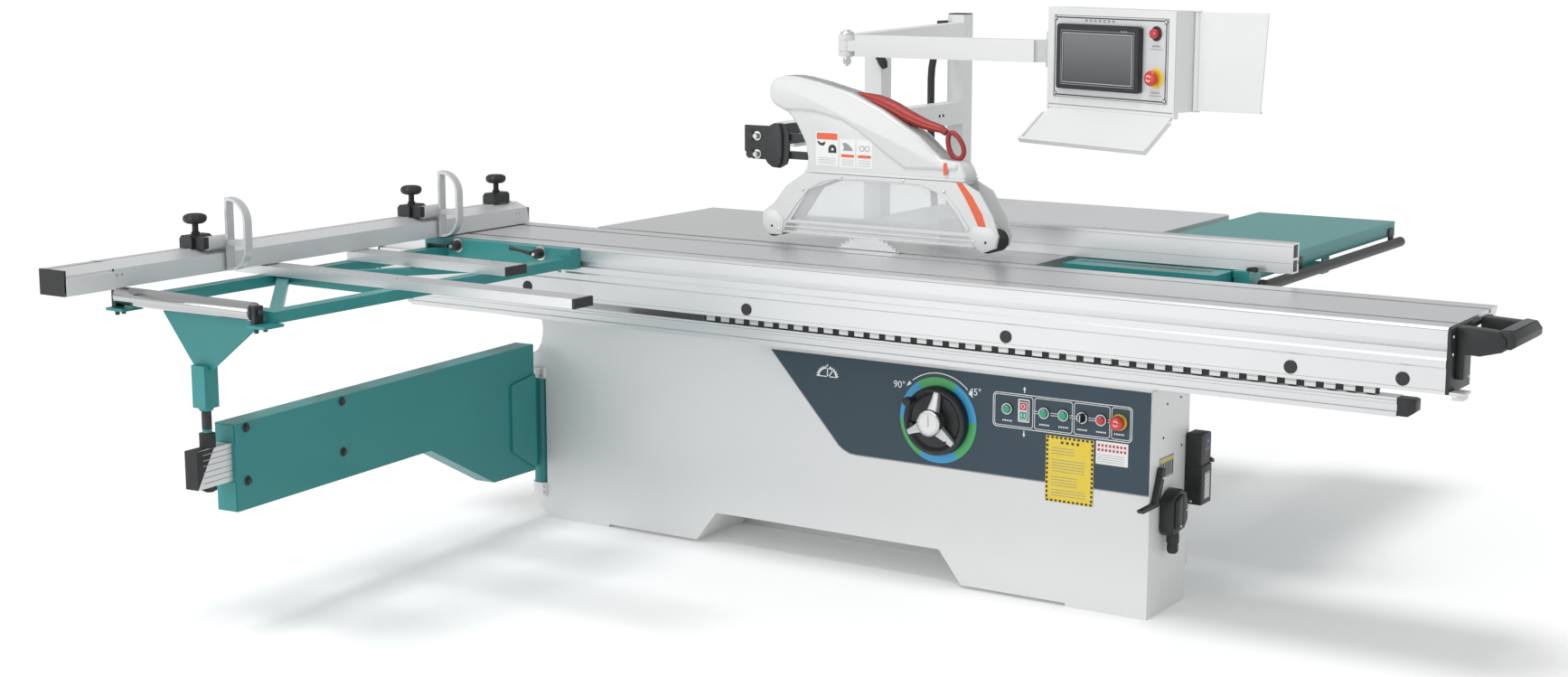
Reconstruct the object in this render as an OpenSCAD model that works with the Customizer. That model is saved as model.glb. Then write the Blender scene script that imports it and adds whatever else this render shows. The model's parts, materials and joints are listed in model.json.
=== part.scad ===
// Sliding-table panel saw. Millimetres, +Z up. X runs along the sliding table, Y points away from the operator.
// The origin is on the floor, at the centre of the four anchor holes.

/* [Cabinet] */
// X of the cabinet's left end
cab_left = -983; // [-1100:1:-900]
// Length of the front cabinet
cab_len = 1983; // [1900:1:2200]
// Y of the cabinet's front face
cab_front = -300; // [-300:1:-300]
// Depth of the front cabinet
cab_depth = 241; // [220:1:280]
// Height of the cabinet's top flange
cab_top = 648; // [600:1:680]
// Thickness of the cabinet's sheet metal
sheet = 5; // [4:0.5:6]
// Length of each foot
foot_len = 234; // [180:1:300]
// Height of the skirt above the floor, beside the feet
skirt_lift = 9; // [6:1:14]
// Height of the recess between the feet
arch_h = 99; // [80:1:120]
// Depth of the rear chassis
chassis_depth = 419; // [380:1:460]
// X of the rear chassis's left side
chassis_left = -845; // [-848:1:-838]
// X of the rear chassis's right side
chassis_right = 612; // [604:1:614]
// Half distance between the anchor holes along X
anchor_x = 830; // [780:1:860]
// Half distance between the anchor holes along Y
anchor_y = 250; // [240:1:260]
// Radius of an anchor hole
anchor_r = 8; // [6:0.5:9]

/* [Sliding table] */
// Length of the sliding table
table_len = 3197; // [2600:1:3400]
// X of the sliding table's left end
table_left = -1357; // [-1500:1:-1200]
// Y of the sliding table's front face
table_front = -605; // [-610:1:-600]
// Y of the edge beside the blade
table_lip = -226; // [-228:1:-224]
// Height of every working surface
table_z = 890; // [880:1:900]
// Depth of the sliding table's box section
box_h = 152; // [148:1:156]
// Width of the sliding table's box section
box_w = 155; // [150:1:160]
// Thickness of the flange beside the box section
flange_t = 22; // [16:1:24]
// Wall of the aluminium sections
alu_wall = 6; // [4:0.5:8]
// Length of the rail
rail_len = 3047; // [2800:1:3200]
// Height of the rail
rail_h = 46; // [40:1:50]
// Width of the rail
rail_w = 45; // [40:1:48]
// Radius of the cage's rollers
cage_roller_r = 21.5; // [21.5:0.1:21.5]
// Distance between the cage's rollers
cage_pitch = 48; // [46:1:60]

/* [Fixed tables] */
// Length of the cast table along X
cast_len = 1465; // [1400:1:1500]
// X of the cast table's left end
cast_left = -850; // [-900:1:-840]
// Y of the cast table's rear edge
cast_rear = 397; // [390:1:397]
// Height of the cast table's rim
cast_h = 44; // [36:1:44]
// Thickness of the cast table's plate
cast_t = 14; // [10:1:16]
// Y of the rear extension's rear edge
ext_rear = 1130; // [1000:1:1150]
// X of the side extension's left edge
side_left = 655; // [650:1:660]
// Width of the side extension
side_w = 437; // [400:1:460]

/* [Saw] */
// X of the blade's centre
blade_x = 101; // [95:1:105]
// Y of the blade's plane
blade_y = -215; // [-215:1:-215]
// Radius of the blade
blade_r = 150; // [125:1:152]
// Thickness of the blade's plate
kerf = 3.2; // [2.8:0.1:3.4]
// Height of the blade above the tables
cut_h = 44; // [35:1:48]
// Teeth on the blade
teeth = 60; // [40:1:72]
// Radius of the blade's shaft
arbor_r = 15; // [12:1:16]
// Radius of the motor
motor_r = 60; // [50:1:60]
// Radius of the scoring blade
score_r = 60; // [50:1:60]
// X of the scoring blade's centre
score_x = 325; // [320:1:330]

/* [Outrigger] */
// X of the outrigger's right edge
rig_right = -600; // [-620:1:-580]
// X of the outrigger's left bar
rig_left = -1090; // [-1100:1:-1080]
// Y of the outrigger's outer edge
rig_out = -1774; // [-1800:1:-1750]
// Top of the outrigger's tubes
rig_z = 866; // [866:1:866]
// Height of the outrigger's tubes
rig_h = 28; // [24:1:30]
// Radius of the outrigger's support roller
roller_r = 23; // [18:1:23]
// X of the post above the swing arm
post_x = -887; // [-900:1:-870]
// Y of the post above the swing arm
post_y = -1738; // [-1745:1:-1730]

/* [Crosscut fence] */
// X of the fence's working face
fence_x = -1072; // [-1080:1:-1065]
// Width of the fence
fence_w = 78; // [70:1:84]
// Bottom of the fence
fence_z = 893; // [892:0.5:894]
// Height of the fence
fence_h = 63; // [58:1:66]
// Y of the fence's inner end
fence_in = -264; // [-280:1:-264]
// Y of the fence's outer end
fence_out = -1852; // [-1870:1:-1840]
// Length of the fence's extension head
head_len = 150; // [120:1:180]
// Y of each flip stop
stop_y = [-1528, -712, -340];

/* [Swing arm] */
// X of the swing arm's hinge
arm_x = -1015; // [-1020:1:-1010]
// Y of the swing arm's hinge
arm_y = -280; // [-284:1:-276]
// Angle of the swing arm from -Y
arm_turn = 5; // [4:0.5:6]
// Length of the swing arm
arm_len = 1400; // [1300:1:1410]
// Width of the swing arm
arm_w = 64; // [60:1:68]
// Bottom of the swing arm's outer end
arm_z0 = 320; // [300:1:330]
// Top of the swing arm
arm_z1 = 545; // [530:1:550]
// Height of the telescopic tube
tube_h = 97; // [90:1:100]
// Width of the telescopic tube
tube_w = 40; // [36:1:44]

/* [Guard] */
// Half width of the blade guard
guard_half = 40; // [36:1:44]
// Radius of the guard's rollers
guard_roller_r = 30; // [26:1:32]
// X of the guard's rollers
guard_roller_x = [-190, 490];
// Z of the guard's rollers
guard_roller_z = 944; // [940:1:948]

/* [Gantry] */
// X of the gantry posts' centre
gantry_x = -314; // [-318:1:-312]
// Y of the two gantry posts
gantry_y = [523, 1045];
// Width of a gantry post
post_w = 60; // [50:1:60]
// Top of the gantry posts
gantry_top = 1495; // [1480:1:1510]
// X and Y of the boom's hinge
boom_hinge = [-103, 0];
// Bottom of the boom
boom_z = 1410; // [1400:1:1420]
// Height of the boom
boom_h = 60; // [50:1:64]

/* [Control box] */
// Front left lower corner of the control box
box_corner = [541, -15, 1303];
// Turn of the control box about Z
box_turn = -20.8; // [-22:0.1:-19]
// Width of the control box
cbox_w = 475; // [440:1:500]
// Depth of the control box
cbox_d = 78; // [70:1:90]
// Height of the control box
cbox_h = 256; // [240:1:270]
// Depth of the keyboard shelf
shelf_d = 131; // [110:1:140]
// Slope of the open keyboard shelf
shelf_slope = 40; // [35:1:45]

/* [Rip fence] */
// Y of the rip fence's working face
rip_y = -11; // [-30:1:100]
// X of the rip fence's left end
rip_left = 210; // [180:1:300]
// Length of the rip fence
rip_len = 1040; // [900:1:1060]
// Height of the rip fence
rip_h = 78; // [70:1:90]
// Radius of the rip fence's bar
bar_r = 15; // [12:1:16]

/* [Controls] */
// X of the handwheel
wheel_x = 377; // [370:1:385]
// Z of the handwheel
wheel_z = 458; // [450:1:465]
// Radius of the handwheel
wheel_r = 94; // [80:1:100]
// Z of the row of switches
switch_z = 514; // [505:1:520]
// Distance of the switches from the cabinet's right end: start, rocker, saw, scoring, selector, stop, emergency
switch_in = [413, 363, 304, 248, 194, 140, 89];
// Radius of a push button
button_r = 11; // [9:0.5:12]

/* [Hidden] */
$fn = 48;
fit = 0.05;          // running clearance of a pin in its bore
gap = 0.5;           // clearance of a sliding piece
play = 0.3;          // clearance of a button in its panel
cab_right = cab_left + cab_len;
switch_x = [for (d = switch_in) cab_right - d];
cab_back = cab_front + cab_depth;
chassis_back = cab_back + chassis_depth;
arch_left = cab_left + 556;
arch_right = cab_right - 547;
arch_slope = 70;
table_right = table_left + table_len;
box_z = table_z - box_h;
box_back = table_front + box_w;
rail_front = table_front + 128;
cage_y = rail_front + 4;
cage_w = 21;
cage_z = (cab_top + rail_h + box_z) / 2;
cast_edge = blade_y + 10;
tilt_z = table_z;
blade_z = table_z + cut_h - blade_r;
score_z = table_z + 2 - score_r;
seg_x = [-150, 400];
seg_t = 18;
seg_r = 206;
seg_w = 26;
lift_y = blade_y + 155;
plate_t = 12;
motor_x = 225;
motor_z = 765;
pulley_r = [38, 35];
belt_y = blade_y + 121;
rig_bar = 40;
rig_top = table_z - 1;
inner_y0 = table_front - 47;
inner_y1 = table_front - gap;
lever_x = [-1010, -706];
lever_z = rig_z + 6;
bar_z = [rig_z, table_z];
bar_1 = [-1090, -1020, -525, -940];
bar_2 = [-1180, -1349, -40, -1277];
roller_y = rig_out - roller_r - 3;
roller_z = table_z - roller_r;
roller_x0 = -1110;
roller_x1 = -640;
pivot_x = fence_x - 38;
pivot_y = (inner_y0 + inner_y1) / 2;
cavity = [fence_x - fence_w + 10, fence_x - 10, fence_z + 7, fence_z + 37];
stop_half = 35;
hub_x = fence_x - 13;
hub_z = fence_z + 75;
hub_r = 18.5;
tube_s0 = 330;
tube_s1 = 1505;
guide_s = 980;
post_s = norm([post_x - arm_x, post_y - arm_y]);
tube_z = 400;
nut_z = tube_z + tube_h + 37;
pin_r = 6;
arm_pins = [[-267, 1193], [-267, 1142]];
arm_reach = 205;
wall = 6;
guard_z = 1100;
side_front = -129;
side_rear = 1255;
bar_x = side_left + side_w + 23;
bar_z0 = table_z - 62;
carriage_y = rip_y - 19;
swivel = [-22, 38];

// ---- helpers ----

// A box between two corners.
module span(lo, hi) {
  translate(lo) cube(hi - lo);
}

// A cylinder along X, Y or Z from a start point.
module rod_x(p, len, r) {
  translate(p) rotate([0, 90, 0]) cylinder(r = r, h = len);
}
module rod_y(p, len, r) {
  translate(p) rotate([-90, 0, 0]) cylinder(r = r, h = len);
}
module rod_z(p, len, r) {
  translate(p) cylinder(r = r, h = len);
}

// An outline in XZ, extruded along +Y from y.
module slab_y(y, t) {
  translate([0, y + t, 0]) rotate([90, 0, 0]) linear_extrude(t) children();
}

// An outline in YZ, extruded along +X from x.
module slab_x(x, t) {
  translate([x, 0, 0]) rotate([90, 0, 90]) linear_extrude(t) children();
}

// A ring sector in 2-D: a is the first angle and b the last, under 180 degrees apart.
module sector(r0, r1, a, b) {
  intersection() {
    difference() {
      circle(r1);
      circle(r0);
    }
    polygon([[0, 0], 2 * r1 * [cos(a), sin(a)],
             2.6 * r1 * [cos((a + b) / 2), sin((a + b) / 2)], 2 * r1 * [cos(b), sin(b)]]);
  }
}

// Places children in the swing arm's frame: origin on its hinge, the arm along -Y.
module in_arm() {
  translate([arm_x, arm_y, 0]) rotate([0, 0, arm_turn]) children();
}

// Places children in the control box's frame: X along its width, -Y out of its front.
module in_box() {
  translate(box_corner) rotate([0, 0, box_turn]) children();
}

// ---- base ----

// The cabinet's front outline, inset by t.
function cab_outline(t) = [
  [cab_left + t, skirt_lift + t], [arch_left - 0.4 * t, skirt_lift + t],
  [arch_left + arch_slope - 0.4 * t, arch_h + t], [arch_right - arch_slope + 0.4 * t, arch_h + t],
  [arch_right + 0.4 * t, skirt_lift + t], [cab_right - t, skirt_lift + t],
  [cab_right - t, cab_top - t], [cab_left + t, cab_top - t]
];

module front_cabinet() {
  flange = 155;
  hatch = [-180, 450];
  color("white") difference() {
    union() {
      slab_y(cab_front, cab_depth) polygon(cab_outline(0));
      for (x = [cab_left, cab_right - foot_len])
        span([x, cab_front, 0], [x + foot_len, cab_back, skirt_lift + 1]);
      span([cab_left, cab_front - flange, cab_top - 6], [cab_right, cab_front + 1, cab_top]);
      for (x = [cab_left : (cab_len - sheet) / 7 : cab_right])
        slab_x(x, sheet) polygon([[cab_front + 1, cab_top - 5], [cab_front - flange, cab_top - 5],
                                  [cab_front + 1, cab_top - 36]]);
    }
    slab_y(cab_front + sheet, cab_depth - 2 * sheet) polygon(cab_outline(sheet));
    // opening to the rear chassis, and the hatch that the tilting saw swings through
    span([chassis_left + 30, cab_back - 2 * sheet, arch_h + 20],
         [chassis_right - 30, cab_back + 1, cab_top - 20]);
    span([hatch[0], cab_front - 120, cab_top - 40], [hatch[1], cab_front, cab_top + 1]);
    span([hatch[0], cab_front + sheet, cab_top - 21], [hatch[1], cab_back + 1, cab_top + 1]);
    // holes for the anchors, the tilt shaft and the switches
    for (s = [-1, 1]) rod_z([s * anchor_x, -anchor_y, -1], skirt_lift + sheet + 2, anchor_r);
    rod_y([wheel_x, cab_front - 1, wheel_z], sheet + 2, 10 + fit);
    for (i = [0, 2, 3, 4, 5, 6])
      rod_y([switch_x[i], cab_front - 1, switch_z], sheet + 2, button_r + play);
    span([switch_x[1] - 12 - play, cab_front - 1, switch_z - 26],
         [switch_x[1] + 12 + play, cab_front + sheet + 1, switch_z + 26]);
  }
}

module rear_chassis() {
  z1 = table_z - cast_h;
  beam = 60;
  color("whitesmoke") difference() {
    union() {
      span([chassis_left, cab_back, beam], [chassis_left + sheet, chassis_back, z1]);
      span([chassis_right - sheet, cab_back, beam], [chassis_right, chassis_back, z1]);
      span([chassis_left, chassis_back - sheet, beam], [chassis_right, chassis_back, z1]);
      span([chassis_left, cab_back, beam], [chassis_right, chassis_back, beam + sheet]);
      // foot beam with the rear anchor holes, and a middle beam
      span([-anchor_x - 30, anchor_y - 30, 0], [anchor_x + 30, anchor_y + 30, beam + 1]);
      span([chassis_left, cab_back + 20, 0], [chassis_right, cab_back + 80, beam + 1]);
      // dust spigot
      rod_y([120, chassis_back - 1, 260], 61, 60);
    }
    for (s = [-1, 1]) rod_z([s * anchor_x, anchor_y, -1], beam + 3, anchor_r);
    rod_y([120, chassis_back - sheet - 1, 260], 70, 57);
  }
}

module slide_rail() {
  y0 = rail_front;
  z0 = cab_top;
  z1 = cab_top + rail_h;
  color("silver") slab_x(table_left, rail_len) difference() {
    polygon([[y0, z0], [y0 + rail_w, z0], [y0 + rail_w, z1], [y0, z1],
             [y0, z0 + 32], [y0 + 3, z0 + 30], [y0 + 3, z0 + 14], [y0, z0 + 12]]);
    translate([y0 + 8, z0 + 6]) square([rail_w - 14, rail_h - 14]);
  }
}

module cast_table() {
  skirt = 14;
  x1 = cast_left + cast_len;
  color("gray") {
    difference() {
      span([cast_left, cast_edge, table_z - cast_h], [x1, cast_rear, table_z]);
      span([cast_left + skirt, cast_edge - 1, table_z - cast_h - 1],
           [x1 - skirt, cast_rear - skirt, table_z - cast_t]);
    }
    // trunnions below the table: the tilting segments run on their outer edge
    for (x = seg_x) slab_x(x, seg_t) difference() {
      union() {
        translate([blade_y, tilt_z]) sector(150, seg_r - gap, -78, -18);
        intersection() {
          translate([blade_y + 60, tilt_z - 170]) square([135, 170 - cast_t]);
          translate([blade_y, tilt_z]) circle(seg_r - gap);
        }
      }
      translate([blade_y, tilt_z]) circle(150);
    }
  }
}

module rear_extension() {
  y0 = cast_rear;
  x0 = -282;
  x1 = cast_left + cast_len;
  color("silver") {
    difference() {
      span([x0, y0, table_z - 30], [x1, ext_rear, table_z]);
      span([x0 + 4, y0 + 4, table_z - 31], [x1 - 4, ext_rear - 4, table_z - 4]);
      translate([x1 - 30, ext_rear - 30, 0]) difference() {
        span([0, 0, table_z - 40], [31, 31, table_z + 1]);
        rod_z([0, 0, table_z - 41], 43, 30);
      }
    }
    for (x = [x0 + 170, x0 + 660])
      span([x, y0 - 1 + 5, table_z - 70], [x + 60, ext_rear - 30, table_z - 4]);
  }
}

module side_extension() {
  x1 = side_left + side_w;
  color("teal") {
    difference() {
      span([side_left, side_front, table_z - 45], [x1, side_rear, table_z - 2]);
      span([side_left + 5, side_front + 5, table_z - 46], [x1 - 5, side_rear - 5, table_z - 7]);
      span([side_left + 20, side_front + 52, table_z - 8], [side_left + 400, side_front + 62, table_z]);
    }
    // arms that carry it from the cast table and the rear extension
    for (y = [120, 700]) {
      span([y < cast_rear ? chassis_right : cast_left + cast_len - 60, y, table_z - 100],
           [x1 - 20, y + 50, table_z - 70]);
      span([side_left + 20, y, table_z - 70], [side_left + 26, y + 50, table_z - 7]);
      span([x1 - 26, y, table_z - 70], [x1 - 20, y + 50, table_z - 7]);
    }
    span([chassis_right, 100, table_z - 150], [chassis_right + 6, 190, table_z - cast_h - 6]);
    span([cast_left + cast_len - 60, 700, table_z - 71], [cast_left + cast_len - 20, 750, table_z - 4.5]);
  }
}

module gantry_frame() {
  half = post_w / 2;
  beam = [1141, 1212];
  z_foot = 60;
  color("white") difference() {
    union() {
      for (y = gantry_y) {
        span([gantry_x - half, y - half, z_foot - 1],
             [gantry_x + half, y + half, y == gantry_y[1] ? gantry_top : boom_z + 1]);
        span([gantry_x - 80, y - 60, 0], [gantry_x + 80, y + 60, 10]);
      }
      span([gantry_x - half, anchor_y + 30, 0], [gantry_x + half, gantry_y[1] + half, z_foot]);
      span([gantry_x - half, 2, beam[0]], [gantry_x + half, gantry_y[1], beam[1]]);
      // boom beam from the far post to the boom's hinge, with the hinge's fork
      boom_beam();
    }
    rod_x([gantry_x - half - 1, 30, 1190], post_w + 2, 6);
    rod_z([boom_hinge[0], boom_hinge[1], boom_z - 1], boom_h + 2, 10 + fit);
  }
  // legs below the outer edge of the rear extension
  color("white") for (x = [-112, 378]) {
    span([x + 10, ext_rear - 90, 0], [x + 50, ext_rear - 50, table_z - 70]);
    span([x - 10, ext_rear - 110, 0], [x + 70, ext_rear - 30, 8]);
  }
}

module boom_beam() {
  run = [boom_hinge[0] - gantry_x, boom_hinge[1] - gantry_y[1]];
  len = norm(run);
  translate([gantry_x, gantry_y[1], 0]) rotate([0, 0, atan2(run[1], run[0])]) {
    span([0, -25, boom_z], [len - 45, 25, boom_z + boom_h]);
    for (z = [boom_z, boom_z + boom_h - 14]) {
      span([len - 60, -25, z], [len, 25, z + 14]);
      rod_z([len, 0, z], 14, 25);
    }
  }
}

// The conduit's centre line, from the far post down behind the crossbeam.
conduit_route = [
  [-352, 1000, 1445], [-354, 985, 1425], [-357, 965, 1395], [-359, 950, 1360], [-360, 940, 1325],
  [-360, 936, 1290], [-360, 936, 1250], [-360, 936, 1200], [-360, 937, 1150], [-360, 940, 1100],
  [-360, 945, 1050], [-360, 950, 1000], [-360, 955, 950], [-360, 963, 900], [-360, 975, 850],
  [-359, 992, 805], [-358, 1012, 770], [-357, 1030, 740]
];
conduit_r = 12;

// A ring of 10 points around point i of a route.
function ring(route, i, r) =
  let (a = route[max(i - 1, 0)], b = route[min(i + 1, len(route) - 1)],
       d = (b - a) / norm(b - a), u = cross(d, [1, 0, 0]) / norm(cross(d, [1, 0, 0])), v = cross(d, u))
  [for (k = [0 : 9]) route[i] + r * (cos(36 * k) * u + sin(36 * k) * v)];

// A closed tube swept along a route.
module sweep(route, r) {
  n = len(route);
  polyhedron(
    [for (i = [0 : n - 1]) each ring(route, i, r)],
    concat([[for (k = [0 : 9]) k]], [[for (k = [9 : -1 : 0]) 10 * (n - 1) + k]],
           [for (i = [0 : n - 2], k = [0 : 9])
             [10 * i + k, 10 * i + 10 + k, 10 * i + 10 + (k + 1) % 10, 10 * i + (k + 1) % 10]]));
}

module conduit() {
  half = post_w / 2;
  color("black") {
    sweep(conduit_route, conduit_r);
    span([gantry_x - half - 24, 985, 1440], [gantry_x - half, 1045, 1475]);
    span([gantry_x - half - 28, 1016, 690], [gantry_x - half, 1048, 745]);
  }
}

module guard_bracket() {
  y = blade_y - 30;
  x0 = gantry_x + post_w / 2;
  color("dimgray") {
    slab_y(y, 8) polygon([[-290, 1222], [-206, 1222], [-190, 1231], [-166, 1231], [-148, 1221], [-142, 1200],
                          [-142, 1141], [-150, 1118], [-172, 1106], [-192, 1108], [-208, 1118], [-215, 1128],
                          [-262, 1128], [-290, 1150]]);
    span([x0, y, 1152], [x0 + 4, 60, 1212]);
    for (p = arm_pins) rod_y([p[0], y - 8, p[1]], 32, pin_r);
    for (p = arm_pins) rod_y([p[0], y - 10, p[1]], 10, 12);
  }
}

module electrical_boxes() {
  x = cab_right;
  y = cab_front;
  color("black") {
    // drive unit
    span([x, y + 219, 266], [x + 50, y + 285, 455]);
    // inlet socket with its gland
    difference() {
      span([x, y + 60, 190], [x + 46, y + 160, 325]);
      span([x + 40, y + 70, 215], [x + 47, y + 150, 300]);
    }
    rod_z([x + 24, y + 100, 160], 31, 16);
  }
}

module rip_bar() {
  color("silver") {
    rod_y([bar_x, cast_edge, bar_z0], side_rear - cast_edge - 10, bar_r);
    for (y = [side_front, 430, side_rear - 60]) {
      span([side_left + side_w, y, bar_z0 - 6], [bar_x - bar_r + 4, y + 40, bar_z0 + 6]);
      span([side_left + side_w, y, bar_z0 - 6], [side_left + side_w + 5, y + 40, table_z - 20]);
    }
  }
}

module arm_hinge() {
  color("white") {
    for (z = [[65, 106], [430, 462]]) {
      span([arm_x, arm_y - 30, z[0]], [cab_left, arm_y + 30, z[1]]);
      rod_z([arm_x, arm_y, z[0]], z[1] - z[0], 30);
    }
    rod_z([arm_x, arm_y, 100], 335, 12);
  }
}

// ---- controls ----

module handwheel() {
  y = cab_front - 34;
  rim_y = cab_front - 20;
  color("black") {
    translate([wheel_x, rim_y, wheel_z]) rotate([-90, 0, 0]) rotate_extrude()
      translate([wheel_r - 11, 0]) circle(11);
    rod_y([wheel_x - 62, y - 34, wheel_z + 55], 52, 11);
    difference() {
      rod_y([wheel_x, y - 14, wheel_z], 46, 33);
      rod_y([wheel_x, y - 15, wheel_z], 12, 30);
    }
    for (a = [95, 200, 320]) translate([wheel_x, rim_y, wheel_z]) rotate([0, -a, 0])
      span([25, -6, -12], [wheel_r - 8, 6, 12]);
    // tilt shaft to the screw inside the cabinet
    rod_y([wheel_x, y + 20, wheel_z], cab_depth - 40, 10);
    rod_y([wheel_x, cab_front + sheet + 1, wheel_z], 12, 18);
    rod_y([wheel_x, cab_back - 60, wheel_z], 30, 30);
  }
}

// A push button: a cap in front of the panel, its stem through it, and a collar behind.
module push_button(x, c) {
  color(c) {
    rod_y([x, cab_front - 9, switch_z], 24, button_r);
    rod_y([x, cab_front + sheet + 0.8, switch_z], 8, button_r + 4);
  }
}

module start_button() {
  push_button(switch_x[0], "green");
}
module saw_button() {
  push_button(switch_x[2], "green");
}
module scoring_button() {
  push_button(switch_x[3], "green");
}
module stop_button() {
  push_button(switch_x[5], "red");
}

module rocker_switch() {
  color("silver") span([switch_x[1] - 12, cab_front - 8, switch_z - 24], [switch_x[1] + 12, cab_front + 4, switch_z + 24]);
}

module selector_knob() {
  x = switch_x[4];
  color("black") {
    rod_y([x, cab_front - 6, switch_z], 20, button_r);
    span([x - 4, cab_front - 18, switch_z - 11], [x + 4, cab_front - 5, switch_z + 11]);
    rod_y([x, cab_front + sheet + 0.8, switch_z], 8, button_r + 4);
  }
}

// A mushroom-headed stop button pointing out along -Y from the panel at p.
module mushroom(p, depth) {
  color("red") {
    rod_y(p + [0, -26, 0], 16, 18);
    rod_y(p + [0, -11, 0], 11 + depth, 10);
  }
}

module emergency_stop() {
  mushroom([switch_x[6], cab_front, switch_z], 12);
  color("red") rod_y([switch_x[6], cab_front + sheet + 0.8, switch_z], 8, 16);
}

// ---- sliding table ----

module sliding_table() {
  f = table_front;
  z = table_z;
  color("silver") slab_x(table_left, table_len) difference() {
    polygon([[f, box_z], [box_back, box_z], [box_back, z - flange_t], [table_lip - flange_t, z - flange_t],
             [table_lip, z], [-284, z], [-284, z - 9], [-300, z - 9], [-300, z],
             [-524, z], [-524, z - 9], [-540, z - 9], [-540, z], [f + 7, z], [f, z - 7],
             [f, z - 38], [f + 11, z - 38], [f + 11, z - 54], [f, z - 54],
             [f, z - 70], [f - 3, z - 74], [f - 3, z - 90], [f, z - 94]]);
    translate([f + alu_wall, box_z + alu_wall]) square([box_w - 2 * alu_wall, 60]);
    translate([f + 18, box_z + 72]) square([box_w - 18 - alu_wall, box_h - 72 - 16]);
  }
}

module table_handle() {
  x = table_right;
  y = -560;
  color("black") {
    span([x, table_front, box_z], [x + 8, box_back, table_z - 2]);
    span([table_left - 8, table_front, box_z], [table_left, box_back, table_z - 2]);
    span([x + 7, y - 10, table_z - 120], [x + 26, y + 60, table_z - 4]);
    difference() {
      span([x + 25, y, table_z - 46], [x + 140, y + 208, table_z - 4]);
      span([x + 24, y + 44, table_z - 47], [x + 104, y + 168, table_z - 3]);
    }
    span([x + 7, y + 168, table_z - 46], [x + 26, y + 208, table_z - 6]);
  }
}

module roller_cage() {
  x0 = -272;
  n = 40;
  len = n * cage_pitch;
  r = cage_roller_r;
  color("black") difference() {
    span([x0, cage_y, cage_z - 6], [x0 + len, cage_y + cage_w, cage_z + 6]);
    for (i = [0 : n - 1])
      span([x0 + cage_pitch * (i + 0.5) - r - 1, cage_y - 1, cage_z - 7],
           [x0 + cage_pitch * (i + 0.5) + r + 1, cage_y + cage_w - 4, cage_z + 7]);
  }
  color("silver") for (i = [0 : n - 1])
    rod_y([x0 + cage_pitch * (i + 0.5), cage_y, cage_z], cage_w - 3.5, r);
}

// ---- outrigger ----

module outrigger_frame() {
  z0 = rig_z - rig_h;
  mid = -1300;
  plate_y = post_y - 4;
  color("teal") difference() {
    union() {
      // bar clamped to the table, two side bars, the outer bar, a cross bar and two braces
      span([-1134, inner_y0, 833], [rig_right, inner_y1, rig_top]);
      span([rig_right - rig_bar, rig_out, z0], [rig_right, inner_y0 + 1, rig_z]);
      span([rig_left, rig_out, z0], [rig_left + rig_bar, inner_y0 + 1, rig_z]);
      span([rig_left, rig_out, z0], [rig_right, rig_out + rig_bar, rig_z]);
      span([rig_left, mid, z0], [rig_right, mid + rig_bar, rig_z]);
      brace([rig_left + 20, mid + 20], [rig_right - 20, -700], z0);
      brace([rig_left + 20, mid + 20], [rig_right - 20, rig_out + 20], z0);
      // tabs for the support roller
      for (x = [roller_x0 - 18, roller_x1]) span([x, roller_y - 30, z0 - 6], [x + 60, rig_out + 10, z0 + 1]);
      // gusset plate and square tube down to the post
      slab_y(plate_y, 8) polygon([[-1020, z0 + 1], [-682, z0 + 1], [-682, z0 - 12], [post_x + 23, 690],
                                  [post_x - 23, 690], [-1020, z0 - 12]]);
      span([post_x - 22.5, post_y - 22.5, 598], [post_x + 22.5, post_y + 22.5, 705]);
      span([post_x - 150, post_y - 10, z0 - 1], [post_x + 150, rig_out + rig_bar + 30, z0 + 5]);
      rod_z([post_x, post_y, nut_z], 604 - nut_z, 12);
      // fence pivot pin
      rod_z([pivot_x, pivot_y, rig_top - 1], 8, 8);
    }
    for (x = lever_x) rod_y([x, inner_y0 - 1, lever_z], inner_y1 - inner_y0 + 2, 6 + fit);
  }
}

// A flat brace between two points in plan.
module brace(a, b, z0) {
  d = b - a;
  translate([a[0], a[1], z0 + 4]) rotate([0, 0, atan2(d[1], d[0])]) span([0, -15, 0], [norm(d), 15, 20]);
}

module support_bars() {
  color("silver") for (b = [bar_1, bar_2]) difference() {
    span([b[0], b[1], bar_z[0]], [b[2], b[3], bar_z[1]]);
    span([b[0] - 1, b[1] + 5, bar_z[0] + 4], [b[2] + 1, b[3] - 5, bar_z[1] - 4]);
  }
}

module roller_brackets() {
  y = roller_y;
  color("black") {
    for (x = [roller_x0 - 15 + gap, roller_x1 + gap]) {
      span([x, y - 14, rig_z - rig_h + 1], [x + 14, y + 14, table_z - 8]);
    }
    for (x = [roller_x0 - 2, roller_x1 - 12]) rod_x([x, y, roller_z], 14, 8 - fit);
    // end caps of the two support bars
    for (b = [bar_1, bar_2]) span([b[2], b[1], bar_z[0]], [b[2] + 8, b[3], bar_z[1]]);
  }
}

module support_roller() {
  color("lightgray") difference() {
    rod_x([roller_x0 + 1, roller_y, roller_z], roller_x1 - roller_x0 - 2, roller_r);
    rod_x([roller_x0, roller_y, roller_z], roller_x1 - roller_x0, 8);
  }
}

// A clamp lever on the inner bar: hub, grip and the screw that clamps the table.
module clamp_lever(x, turn) {
  y = inner_y0 - 24;
  color("black") {
    rod_y([x, y, lever_z], 24 - gap, 15);
    rod_y([x, y + 20, lever_z], inner_y1 - y - 20, 6);
    translate([x, y, lever_z]) rotate([0, turn, 0]) span([0, -12, -5], [78, 2, 5]);
  }
}

module clamp_lever_left() {
  clamp_lever(lever_x[0], 180);
}
module clamp_lever_right() {
  clamp_lever(lever_x[1], 190);
}

// ---- crosscut fence ----

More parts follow.
